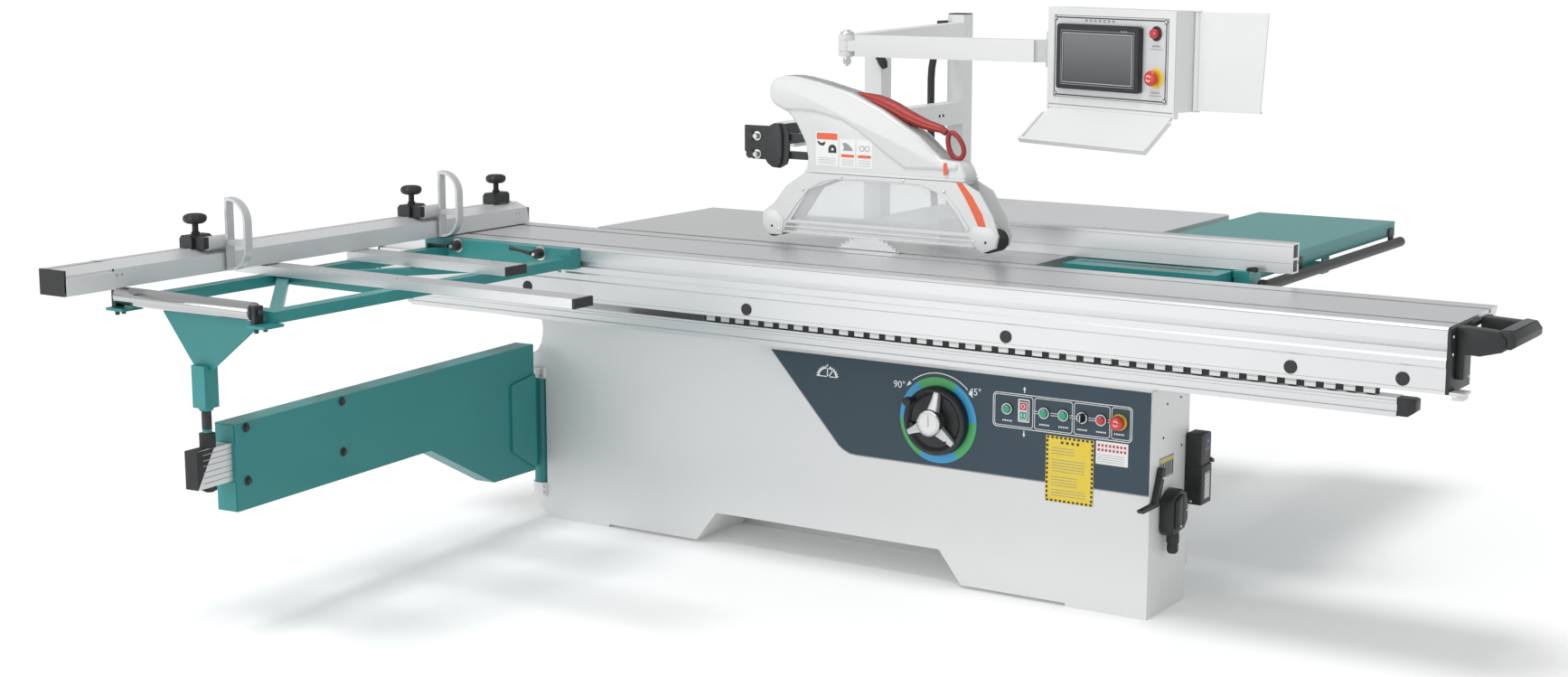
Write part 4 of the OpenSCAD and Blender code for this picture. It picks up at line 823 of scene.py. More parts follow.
def turnedRing(bm, centre, axis, profile, steps=72):
    direction = Vector(axis).normalized()
    side = direction.orthogonal().normalized()
    up = direction.cross(side)
    rings = []
    for radius, height in profile:
        middle = metres(*centre) + direction * height / 1000
        rings.append([bm.verts.new(middle + (side * math.cos(t) + up * math.sin(t)) * radius / 1000)
                      for t in [2 * math.pi * k / steps for k in range(steps)]])
    for a, b in zip(rings, rings[1:] + rings[:1]):
        for k in range(steps):
            bm.faces.new((a[k], a[(k + 1) % steps], b[(k + 1) % steps], b[k]))


buildHandwheel()


switchSizes = dict(
    emergencyCap=[(9.8, -22), (9.8, 0), (17, 0.4), (19, 3), (19, 9), (17.5, 13), (14.5, 15.4),
                  (8, 16), (1, 16)],
    emergencyCollar=[(9, 0), (16, 0.2), (16, 8), (9, 8)],
)


def buildSwitches():
    z = switches["z"]
    front = -308.0
    x = switches["rocker"]
    flatShape("rockerRed", [rectPoints(x - 10, z + 2, x + 10, z + 22, 1.5)], "y", front, -0.6,
              redLens, "rocker")
    flatShape("rockerGreen", [rectPoints(x - 10, z - 22, x + 10, z - 2, 1.5)], "y", front, -0.6,
              greenLens, "rocker")
    flatShape("rockerRound", [circlePoints(x, z + 12, 6), circlePoints(x, z + 12, 4.4)], "y",
              front - 0.6, -0.3, whiteInk, "rocker")
    flatShape("rockerBar", [rectPoints(x - 5, z - 17, x - 3.4, z - 7),
                            rectPoints(x + 3.4, z - 17, x + 5, z - 7)], "y", front - 0.6, -0.3,
              whiteInk, "rocker")
    x = switches["selector"]
    flatShape("selectorMark", [[(x - 1, z - 9.5), (x + 1, z - 9.5), (x + 1, z + 9.5),
                                (x - 1, z + 9.5)]], "y", -318.0, -0.4, whiteInk, "selector")
    x = switches["emergency"]
    cap = addTurned("emergencyCap", (x, -309.6, z), (0, -1, 0),
                    switchSizes["emergencyCap"],
                    redMushroom, "emergency_push", 40)
    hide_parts("emergency_stop")
    flatShape("emergencyArrows", [arcBand(x, z, 5.4, 7.6, 20, 150),
                                  arcBand(x, z, 5.4, 7.6, 200, 330)], "y", -325.6, -0.3, whiteInk,
              "emergency_push")
    addTurned("emergencyCollar", (x, -294.2, z), (0, 1, 0), switchSizes["emergencyCollar"],
              blackPlastic, "emergency_push")
    for key, body, lens in (("start", "start_push", greenLens), ("saw", "saw_push", greenLens),
                            ("scoring", "scoring_push", greenLens), ("stop", "stop_push", redLens)):
        addTurned("cap" + key.title(), (switches[key], -308.9, z), (0, -1, 0),
                  [(10.6, 0), (10.2, 1.4), (8, 2.2), (1, 2.4)], lens, body,
                  32)
    print("switches built")


buildSwitches()

# sliding table, rail and handle

tableSizes = dict(
    arm=[(1848, 768), (1868, 768), (1868, 826), (1902, 825), (1950, 838), (1958, 846), (1958, 868),
         (1944, 882), (1880, 886.5), (1848, 887)],
    section=[(1932, 851), (1940, 845), (1968, 845), (1979, 853), (1980, 868), (1968, 884),
             (1944, 886.5), (1930, 880)],
    pushHandleArmBack=[(1848, 842), (1900, 842), (1950, 848), (1956, 868), (1944, 882),
                       (1848, 886)],
    railStop=[(1690, 650), (1716, 650), (1734, 664), (1734, 690), (1726, 693), (1690, 693)],
)


def buildTable():
    body, slot = "table", "black_plastic"
    for number, x in enumerate((-793, -41, 738, 1479, 1743)):
        addTurned(f"tablePlug{number}", (x, -606.4, 765), (0, -1, 0),
                  [(16, -1.2), (16, 0.6), (15, 1.5), (1, 1.9)], blackPlastic, body, 36)
    for name, z, tall in (("Upper", 883.2, 1.2), ("Middle", 796.5, 0.9), ("Lower", 746.5, 0.9)):
        addBlock("tableLine" + name, (-1356, -605.25, z), (1839, -604.9, z + tall), greyInk, body,
                 0)
    addBlock("slotShadowFront", (-1356, -539, 881.2), (1839, -525, 881.6), blackPaintAndShade, body,
             0)
    addBlock("slotShadowBack", (-1356, -299, 881.2), (1839, -285, 881.6), blackPaintAndShade, body,
             0)
    # aluminium catch and screws at the right end
    addBlock("tableCatch", (1849.2, -606, 738), (1884, -558, 745), ringAluminium, body,
             0.8)
    addBlock("tableCatchLip", (1854, -602, 726), (1880, -562, 738.4), ringAluminium, body,
             1.5)
    addFittings("endScrews", [(1849.4, y, z) for y, z in ((-592, 868), (-592, 828), (-470, 868),
                                                          (-470, 760))],
                (1, 0, 0), 3.6, 2.4, zincBolt, body, 12)
    # push handle: shaped arms and a faceted bar
    arm = tableSizes["arm"]
    handle = addProfile("pushHandleArm", arm, "y", -568, -528, blackPlastic, body, 2.0)
    addProfile("pushHandleArmBack", tableSizes["pushHandleArmBack"], "y", -386, -352, blackPlastic,
               body, 2.0)
    bm = bmesh.new()
    section = tableSizes["section"]
    addOutline(bm, section, "y", -563, -354)
    bevelSharp(bm, 2.2, 2)
    addPiece("pushHandleBar", bm, blackPlastic, body, 40)
    addBlock("pushHandleInlay", (1944, -548, 885.2), (1968, -372, 887.2), motorPaint, body,
             0.6)
    for name, x0, x1 in (("Right", 1840, 1848.4), ("Left", -1365, -1357)):
        addProfile("tableEnd" + name, [(-605, 738), (-450, 738), (-450, 866), (-290, 872),
                                       (-290, 878), (-450, 880), (-450, 887.8), (-605, 887.8)], "x",
                   x0, x1, blackPlastic, body, 1.2)
    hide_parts("table_handle")
    # cage: front strip and the ends of its rollers
    addBlock("cageStrip", (cageLeft, cageFront - 2, 697), (cageRight, cageFront - 0.2, 735),
             softBlack, "cage", 0.4)
    count = int((cageRight - cageLeft) // cagePitch)
    addTicks("cageRollers", (cageLeft + 24, cageFront - 2.4, 705), (cagePitch, 0, 0), (28, 1.6, 13),
             count, zincBolt, "cage")
    addTicks("cageGrooves", (cageLeft + 24, cageFront - 3.3, 708.5), (cagePitch, 0, 0),
             (27, 0.4, 1.6), count, greyInk, "cage")
    # rail: end stop, scale line and screws
    addProfile("railStop", tableSizes["railStop"], "y", -474, -436, blackPlastic, "base", 1.5)
    addBlock("railLine", (-1356, -477.25, 686.5), (1689, -476.9, 687.6), greyInk, "base",
             0)
    addFittings("railEndScrews", [(-1357.6, -456, 671)], (-1, 0, 0), 5, 2, zincBolt, "base",
                12)
    print("table, handle and rail built")


buildTable()

# blade guard

shellOutline = [(-203, 1318), (-200, 1334), (-194, 1348), (-180, 1358), (-158, 1364),
                (-128, 1364.5), (-98, 1361), (-39, 1350),
                (63, 1325), (164, 1282), (235, 1241), (277, 1218), (319, 1182), (347, 1159),
                (376, 1155.5), (402, 1152), (414, 1136),
                (424, 1115), (420, 1100), (-83, 1100), (-77, 1140), (-86, 1182), (-113, 1230),
                (-130, 1251), (-149, 1267),
                (-168, 1275), (-182, 1281), (-194, 1291), (-201, 1304)]
browOutline = [(-203, 1318), (-200, 1334), (-194, 1348), (-180, 1358), (-158, 1364), (-128, 1364.5),
               (-98, 1361), (-39, 1350),
               (63, 1325), (164, 1282), (235, 1241), (277, 1218), (319, 1182), (347, 1159),
               (376, 1155.5), (402, 1152), (404, 1128),
               (320, 1126), (236, 1124), (179, 1158), (121, 1198), (80, 1224), (34, 1247),
               (-54, 1266), (-110, 1268), (-149, 1267),
               (-168, 1275), (-182, 1281), (-194, 1291), (-201, 1304)]


guardSizes = dict(
    arch=[(-143, 962), (-110, 1008), (-68, 1054), (-24, 1078), (20, 1088), (150, 1091), (284, 1088),
          (326, 1076), (362, 1059), (400, 1018), (434, 970)],
    rivets=[(41, 1093.5), (235, 1095), (-87, 1052), (361, 1072), (452, 944), (-168, 936)],
    path=[(46, 1321, 3), (74, 1318, 8), (102, 1311, 13), (130, 1304, 17), (160, 1294, 19),
          (190, 1282, 19.5), (222, 1267, 18.5), (256, 1254, 16.5), (288, 1244, 14),
          (312, 1239, 12.5), (330, 1235, 11), (344, 1226, 9.5)],
    shellHem=[(-84, 1100.5), (421, 1100.5), (423, 1107), (-82, 1108)],
    noticeHand=[(-43, 1190), (-30, 1184), (-16, 1188), (-18, 1182), (-24, 1176), (-36, 1178),
                (-43, 1186)],
    noticeGuard=[(38, 1186), (48, 1188), (60, 1182), (70, 1172), (72, 1166), (40, 1166),
                 (44, 1174)],
    orangeStrip=[(398, 1099), (416, 1099), (446, 1066), (478, 1018), (490, 984), (468, 982),
                 (452, 1014), (424, 1062)],
    guardCheekLeft=[(-222, 950), (-219, 984), (-176, 990), (-150, 962), (-158, 921), (-205, 921)],
    guardCheekRight=[(444, 958), (452, 936), (480, 917), (518, 930), (526, 961), (506, 985),
                     (452, 986)],
    guardCurtain=[(-158, 926), (450, 926), (450, 960), (-146, 960)],
    hangerCover=[(-206, 1222), (-190, 1230.5), (-172, 1230.5), (-164, 1221), (-160, 1200),
                 (-160, 1141), (-166, 1118), (-176, 1107), (-192, 1108), (-208, 1118), (-215, 1128),
                 (-212, 1205)],
)


def buildGuard():
    body, slot = "guard", "white_paint"
    shell = addProfile("shellSkin", shellOutline, "y", -250.5, -179.5, guardWhiteAndHighlight, body, 9, 4,
                       60, 60)
    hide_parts("guard_shell")
    addProfile("shellBrow", browOutline, "y", -256, -174, guardWhiteAndHighlight, body, 13, 5, 60, 60)
    addProfile("shellHem", guardSizes["shellHem"], "y", -255, -175, guardWhiteAndHighlight, body, 1.5)
    face = -250.5

    # three plain notice plates, pictures simplified to shapes
    def notice(name, x0, z0, x1, z1):
        flatShape(name, [rectPoints(x0, z0, x1, z1, 2)], "y", face, -0.5, whiteFoil, body)
    notice("noticeLeft", -48, 1122, 25, 1215)
    notice("noticeMiddle", 30, 1120, 80, 1198)
    notice("noticeRight", 84, 1120, 134, 1198)
    flatShape("noticeHead", [rectPoints(-45, 1194, 22, 1212)], "y", face - 0.5, -0.3, orangeTape,
              body)
    flatShape("noticeBand1", [rectPoints(34, 1148, 76, 1156)], "y", face - 0.5, -0.3, orangeTape,
              body)
    flatShape("noticeBand2", [rectPoints(88, 1148, 130, 1156)], "y", face - 0.5, -0.3, orangeTape,
              body)
    flatShape("noticeDisc", [circlePoints(6, 1168, 13, 24, 0, 180) + [(-7, 1158), (19, 1158)],
                             circlePoints(6, 1168, 4)], "y", face - 0.5, -0.3, blackInk, body)
    flatShape("noticeHand", [guardSizes["noticeHand"]], "y", face - 0.5, -0.3, blackInk, body)
    flatShape("noticeGuard", [guardSizes["noticeGuard"]], "y", face - 0.5, -0.3, greyInk, body)
    flatShape("noticeGoggles", [circlePoints(101, 1174, 8), circlePoints(101, 1174, 6),
                                circlePoints(118, 1174, 8), circlePoints(118, 1174, 6)], "y",
              face - 0.5, -0.3, greyInk, body)
    for name, x, z, width, count in (("A", -12, 1128, 56, 4), ("B", 55, 1126, 38, 4),
                                     ("C", 109, 1126, 38, 4)):
        addTicks("noticeText" + name, (x, face - 0.6, z), (0, 0, 5), (width, 0.3, 0.9), count,
                 greyInk, body)
    flatShape("ovalMark", [rectPoints(359, 1116, 371, 1150, 5.9)], "y", -256.0, -0.5, orangeTape,
              body)

    # lower frame: orange strip, inner arch band, rivets, end covers, and white strips that paint the
    # highlights on the clear curtain's ridges
    front = guardBox[0].y * 1000
    flatShape("orangeStrip", [guardSizes["orangeStrip"]],
              "y", front, -0.6, orangeTape, body)
    arch = guardSizes["arch"]
    wide = [(a + (6 if b < 1060 and a > 200 else -6 if b < 1060 else 0), b + 7) for a, b in arch]
    flatShape("archBand", [arch + list(reversed(wide))], "y", front, -2.2, guardWhiteAndHighlight, body)
    rivets = guardSizes["rivets"]
    addFittings("guardRivets", [(x, front - 2.6, z) for x, z in rivets], (0, -1, 0), 4.2, 1.6,
                zincBolt, body, 20, 0.6)
    addProfile("guardCheekLeft", guardSizes["guardCheekLeft"], "y", front - 2.4, front, guardWhiteAndHighlight,
               body, 1.4)
    addProfile("guardCheekRight", guardSizes["guardCheekRight"], "y", front - 2.4, front,
               guardWhiteAndHighlight, body, 1.4)
    addFittings("guardAxleHoles", [(-190, front - 2.6, 944), (490, front - 2.6, 944)], (0, -1, 0),
                3.4, 0.8, softBlack, body, 20, 1.0)
    # white strips front and back at the curtain's ridge lines: painted highlights of the clear sheet
    for name, z in (("Top", 955), ("Middle", 943), ("Bottom", 929)):
        addBlock("guardRidgeHighlight" + name, (-160, front + 0.6, z), (452, front + 3.4, z + 3.6),
                 guardWhiteAndHighlight, body, 0.6)
        addBlock("guardRidgeHighlightBack" + name, (-160, front + 76.6, z), (452, front + 79.4, z + 3.6),
                 guardWhiteAndHighlight, body, 0.6)
    addProfile("guardCurtain", guardSizes["guardCurtain"], "y", front + 1.2, front + 2.8,
               clearSheet, body, smooth=None)

    # grip: stitched boot along the shell's back and a ring at its end
    path = guardSizes["path"]
    boot = addTube("gripBoot", [(x, -215, z) for x, z, r in path], [r for x, z, r in path], 24,
                   redBoot, body, 60)
    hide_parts("guard_handle")
    ring = []
    for k in range(40):
        t = 2 * math.pi * k / 40
        a, b = 21 * math.cos(t) * (1 - 0.18 * math.sin(t)), 37 * math.sin(t)
        ring.append((372 + a * 0.9 - b * 0.42, -215, 1193 + a * 0.42 + b * 0.9))
    addTube("gripRing", ring, [6.8] * 40, 14, redBoot, body, 60, closed=True)
    for name, lift in (("Upper", 0.55), ("Lower", -0.1)):
        seam = [(x, -215 - r * math.sqrt(1 - lift * lift) - 0.2, z + r * lift) for x, z,
                r in path[1:-1]]
        addTube("gripSeam" + name, seam, [0.8] * len(seam), 8, orangeTape, body, 60)
    addTube("gripTrim", [(x, -215, z - r) for x, z, r in path[1:8]], [3] * 7, 10, softBlack, body,
            60)

    # hanger: bolts, washers and the spacer between the arms
    for number, z in enumerate((1193, 1142)):
        addTurned(f"hangerWasher{number}", (-246, -245.5, z), (0, -1, 0),
                  [(13, 0), (13, 2.4), (7, 2.6)], zincBolt, "base", 32)
        addFittings(f"hangerBolt{number}", [(-246, -251.5, z)], (0, -1, 0), 8.6, 8, zincBolt,
                    "base", 6)
    addProfile("hangerCover", guardSizes["hangerCover"], "y", -254, -244, blackPaintAndShade, "base",
               4, 3, 60, 50)
    print("guard built")


buildGuard()

# control box

boxCorner, boxTurn = (541, -15, 1303), math.radians(-20.8)


def boxPlace():
    return Matrix.Translation(metres(*boxCorner)) @ Matrix.Rotation(boxTurn, 4, "Z")


def placeInBox(piece):
    piece.data.transform(boxPlace())
    piece.data.update()
    return piece


consoleSizes = dict(
    consoleStopCap=[(9.8, -24), (9.8, 0), (18, 0.4), (20, 4), (20, 9), (18, 13), (14, 15.4),
                    (8, 16), (1, 16)],
    lampRing=[(19, 0), (19, 2), (17, 3.4), (14.5, 3.8), (14.5, 1)],
    lampLens=[(12.4, -12), (12.6, 0), (11.4, 3.4), (7, 5), (1, 5.4)],
    consoleStopPlate=[(26, 0), (26, 1.2), (24, 1.6), (11, 1.6)],
)


def buildConsole():
    body, slot = "console", "panel_plate"
    front = -2.0
    made = []
    bezel = flatShape("screenBezel", [rectPoints(52, 45, 360, 212, 6),
                                      rectPoints(76, 62, 336, 190, 2)], "y", -14, -2.4,
                      blackPlastic, body)
    made.append(bezel)
    made.append(flatShape("screenLine", [rectPoints(68, 55, 344, 198, 4),
                                         rectPoints(69.6, 56.6, 342.4, 196.4, 3)], "y", -16.4, -0.3,
                          greyInk, body))
    made.append(flatShape("screenBody", [rectPoints(50, 43, 362, 214, 8),
                                         rectPoints(56, 49, 356, 208, 4)], "y", front, -12.4,
                          blackPlastic, body))
    # the screen pane carries the painted reflection, lighter towards the top
    made.append(flatShape("screenGlassPane", [rectPoints(75.5, 61.5, 336.5, 190.5, 2)], "y", -14.02,
                          -1.2, reflectedScreenGlass, body))
    made.append(flatShape("screenTrim", [rectPoints(74, 60, 338, 192, 3),
                                         rectPoints(76.2, 62.2, 335.8, 189.8, 2)], "y", -16.2, -0.6,
                          machinedSteel, body))
    made.append(flatShape("consoleLine", [rectPoints(29, 24, 446, 232, 3),
                                          rectPoints(32, 27, 443, 229, 2)], "y", front, -0.5,
                          blackInk, body))
    made.append(flatShape("consoleGap", [rectPoints(24.5, 19.5, 450.5, 236.5),
                                         rectPoints(26.5, 21.5, 448.5, 234.5)], "y", 0.2, -0.6,
                          blackInk, body))
    for number, (x, z) in enumerate(((33, 28), (442, 28), (442, 228), (33, 228))):
        made.append(addTurned(f"consoleScrewSeat{number}", (x, front, z), (0, -1, 0),
                              [(6.5, 0), (6.5, 0.9), (1, 1)], blackInk, body, 24))
        made.append(addTurned(f"consoleScrew{number}", (x, front - 0.9, z), (0, -1, 0),
                              [(5, 0), (4.4, 1.6), (1, 2.2)], zincBolt, body, 24))
    made.append(addTurned("lampRing", (409, front, 198), (0, -1, 0), consoleSizes["lampRing"],
                          blackPlastic, body, 32))
    made.append(addTurned("lampLens", (409, -14.4, 198), (0, -1, 0), consoleSizes["lampLens"],
                          redLens, body, 32))
    made.append(addTurned("consoleStopPlate", (411, front, 85), (0, -1, 0),
                          consoleSizes["consoleStopPlate"], yellowFoil, body, 36))
    for name, z in (("Lamp", 166), ("Stop", 48)):
        made.append(addTicks("consoleMark" + name, (396, front - 0.15, z), (6.5, 0, 0),
                             (4, 0.3, 4.6), 5, greyInk, body))
        made.append(addTicks("consoleNote" + name, (390, front - 0.15, z - 8), (5, 0, 0),
                             (3.2, 0.3, 2.4), 9, greyInk, body))
    made.append(addTicks("consoleTitle", (150, front - 0.15, 224), (17, 0, 0), (10, 0.3, 6), 7,
                         greyInk, body))
    made.append(addTicks("screenLamps", (296, -16.5, 200), (9, 0, 0), (2.4, 0.4, 2.4), 3, whiteInk,
                         body))
    cap = addTurned("consoleStopCap", (409, -12, 85), (0, -1, 0),
                    consoleSizes["consoleStopCap"], redMushroom, "console_stop", 40)
    made.append(cap)
    made.append(flatShape("consoleStopArrows", [arcBand(409, 85, 5.6, 8.4, 20, 150),
                                                arcBand(409, 85, 5.6, 8.4, 200, 330)], "y", -28,
                          -0.3, whiteInk, "console_stop"))
    # folded seams of the housing and hinge knuckles of the shelf
    made.append(addBlock("boxSeam", (470.9, 0.6, 4), (475.25, 1.2, 252), greyInk, body,
                         0))
    for number, x in enumerate((150, 300)):
        made.append(addBlock(f"shelfGap{number}", (x, -0.4, -0.4), (x + 3, 6, 0.2), greyInk, body,
                             0))
    for piece in made:
        placeInBox(piece)
    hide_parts("box_stop_button")
    print("control box built")


buildConsole()


gantrySizes = dict(
    pinCapBoom=[(20, 0), (20, 5), (17, 9), (1, 10)],
    swivelCap=[(16, 0), (16, 5), (13, 8), (1, 9)],
    hingePlateUpper=[(-983, 462), (-983, 647.5), (-1047, 647.5), (-1020, 640), (-1003, 625),
                     (-993, 605), (-990, 585), (-992, 560), (-998, 538), (-1011, 516), (-1035, 502),
                     (-1047, 487), (-1047, 462)],
    hingePlateLower=[(-983, 65), (-1046, 65), (-1046, 58), (-1030, 54), (-1000, 20), (-983, 6)],
    hoseEnd=[(-296, 488, 1409), (-284, 480, 1385), (-268, 478, 1362), (-262, 478, 1348)],
    glandTop=[(17, -14), (17, -2), (14, 2), (12.6, 4)],
)


def buildGantry():
    body, steel = "base", "machined_steel"
    # swivel pins, nuts and caps
    x, y, low, high = -103, 0, 1396, 1484
    up, down = (0, 0, 1), (0, 0, -1)
    addTurned("pinBoom", (x, y, low), up, [(9.9, 0), (9.9, high - low)], zincBolt, body, 24)
    addTurned("pinCapBoom", (x, y, high - 14.2), up, gantrySizes["pinCapBoom"], ringAluminium, body,
              32)
    addTurned("pinWasherBoom", (x, y, 1410), down, [(17, 0), (17, 3), (8, 3)], zincBolt, body,
              32)
    addFittings("pinNutBoom", [(x, y, 1400)], down, 14, 13, zincBolt, body, 6)
    addTurned("pinTipBoom", (x, y, 1394), down, [(6, 0), (6, 10), (4, 12)], zincBolt, body,
              16)
    addFittings("beamHoles", [(-283.6, 860, 1176), (-283.6, 884, 1176)], (1, 0, 0), 5, 0.8,
                softBlack, body, 16, 1.0)
    addFittings("beamBolts", [(-278.6, y, 1176) for y in (-20, 20)], (1, 0, 0), 7, 6, zincBolt,
                body, 6)
    addFittings("footBolts", [(x, y, 16) for y in gantryFeet for x in (-374, -254)], (0, 0, 1), 11,
                12, zincBolt, body, 6)
    addBlock("postCap0", (-343, 1016, 1494.5), (-285, 1074, 1499), blackPlastic, body,
             1.4)
    # swivel cap of the box
    place = boxPlace() @ metres(-22, 38, 182)
    addTurned("swivelCap", tuple(place * 1000), (0, 0, 1), gantrySizes["swivelCap"], zincBolt,
              "console", 32)
    # concave plates that carry the swing arm's hinge
    flatShape("hingePlateUpper", [gantrySizes["hingePlateUpper"]],
              "y", -300, 3, whitePowder, body)
    flatShape("hingePlateLower", [gantrySizes["hingePlateLower"]],
              "y", -300, 3, whitePowder, body)
    addTube("hoseEnd", gantrySizes["hoseEnd"], [12, 13, 14, 9], 16, softBlack, body,
            60)
    # conduit glands
    addTurned("glandTop", (-352, 1001, 1446), (0.1, 0.6, 0.8), gantrySizes["glandTop"],
              blackPlastic, body, 28)
    print("gantry fittings built")


gantryFeet = (490, 556)
buildGantry()


# outrigger and crosscut fence

outriggerSizes = dict(
    bolts=[(-1115, -631, 829), (-640, -631, 829), (-620, -690, 834), (-1070, -690, 834),
           (-1070, -1280, 834), (-620, -1280, 834)],
    tabs=[(-1112, -1808, 829), (-1112, -1788, 829), (-620, -1815, 829), (-620, -1786, 829)],
    bars=[(-1070, -1003, 890.4), (-1070, -957, 890.4), (-1070, -1331, 890.4), (-1070, -1295, 890.4),
          (-620, -1331, 890.4), (-620, -957, 890.4)],
    path=[(10, 6), (26, 5), (44, 4.4), (60, 5), (72, 6.2), (80, 6.4)],
    postCollar=[(14, 0), (19, 0), (17, 7), (14, 8)],
)


def buildOutrigger():
    body = "outrigger"
    # clamp levers: hub, shaped arm, washer and set screw
    for node, lever, x, turn, owner in (("clamp_lever_left", "leverLeft", -1010, 180, "lever_left"),
                                        ("clamp_lever_right", "leverRight", -706, 190,
                                         "lever_right")):
        hub = addTurned(lever + "Hub", (x, -676, 872), (0, 1, 0),
                        [(7, -4), (11, -3), (13, 0), (14.6, 6), (15, 18), (15, 23.4)], blackPlastic,
                        owner, 32)
        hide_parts(node)
        addTurned(lever + "Screw", (x, -656, 872), (0, 1, 0), [(5.9, 0), (5.9, 50)], zincBolt,
                  owner, 16)
        addFittings(lever + "Head", [(x, -681.5, 872)], (0, -1, 0), 5.5, 4, zincBolt, owner,
                    12)
        t = math.radians(turn)
        path = outriggerSizes["path"]
        addTube(lever + "Arm", [(x + r * math.cos(t), -682 - k * 1.6, 872 - r * math.sin(t)) for k,
                                (r, w) in enumerate(path)], [w for r, w in path], 16, blackPlastic,
                owner, 50)
        addTurned(lever + "Washer", (x, -652.2, 872), (0, -1, 0), [(20, 0), (20, 1.6), (16, 2)],
                  zincBolt, body, 32)
    # bolts of the frame
    bolts = outriggerSizes["bolts"]
    addFittings("frameBolts", bolts, (0, 0, -1), 8, 9, zincBolt, body, 6)
    tabs = outriggerSizes["tabs"]
    addFittings("tabBolts", tabs, (0, 0, -1), 6.5, 10, blackPaintAndShade, body, 6)
    bars = outriggerSizes["bars"]
    addFittings("barScrews", bars, (0, 0, 1), 4.4, 1.2, machinedSteel, body, 16)
    # roller ends
    for side, x, towards in (("Left", -1109.2, -1), ("Right", -640.8, 1)):
        addTurned("rollerEnd" + side, (x, -1800, 867), (towards, 0, 0),
                  [(8.2, -0.4), (20, -0.4), (20, 0.2), (16, 0.6), (8.2, 0.6)], machinedSteel,
                  "rig_roller", 36)
    for side, x, towards in (("Left", -1124.6, -1), ("Right", -625.4, 1)):
        addFittings("rollerNut" + side, [(x + towards * 3, -1800, 867)], (towards, 0, 0), 8, 6,
                    blackPaintAndShade, body, 6)
    # welded collar and nut on the post
    addTurned("postCollar", (-887, -1738, 597.6), (0, 0, -1), outriggerSizes["postCollar"],
              tealPowder, body, 32)
    addTurned("postThread", (-887, -1738, 590), (0, 0, -1),
              sum([[(12.6, 2 * k), (12.1, 2 * k + 1)] for k in range(24)], []), blackPaintAndShade, body,
              24)
    # support bars: grooves along the top
    for name, x0, x1, ys in (("One", -1090, -525, (-1006, -980, -954)),
                             ("Two", -1180, -40, (-1336, -1313, -1290))):
        for number, y in enumerate(ys):
            addBlock(f"barGroove{name}{number}", (x0 + 1, y - 1, 889.9), (x1 - 1, y + 1, 890.25),
                     greyInk, body, 0)
    print("outrigger built")


buildOutrigger()


fenceSizes = dict(
    cap=[(-1150, 893), (-1142, 893), (-1142, 898), (-1060, 893), (-1060, 936), (-1072, 943),
         (-1112, 956), (-1150, 956)],
)


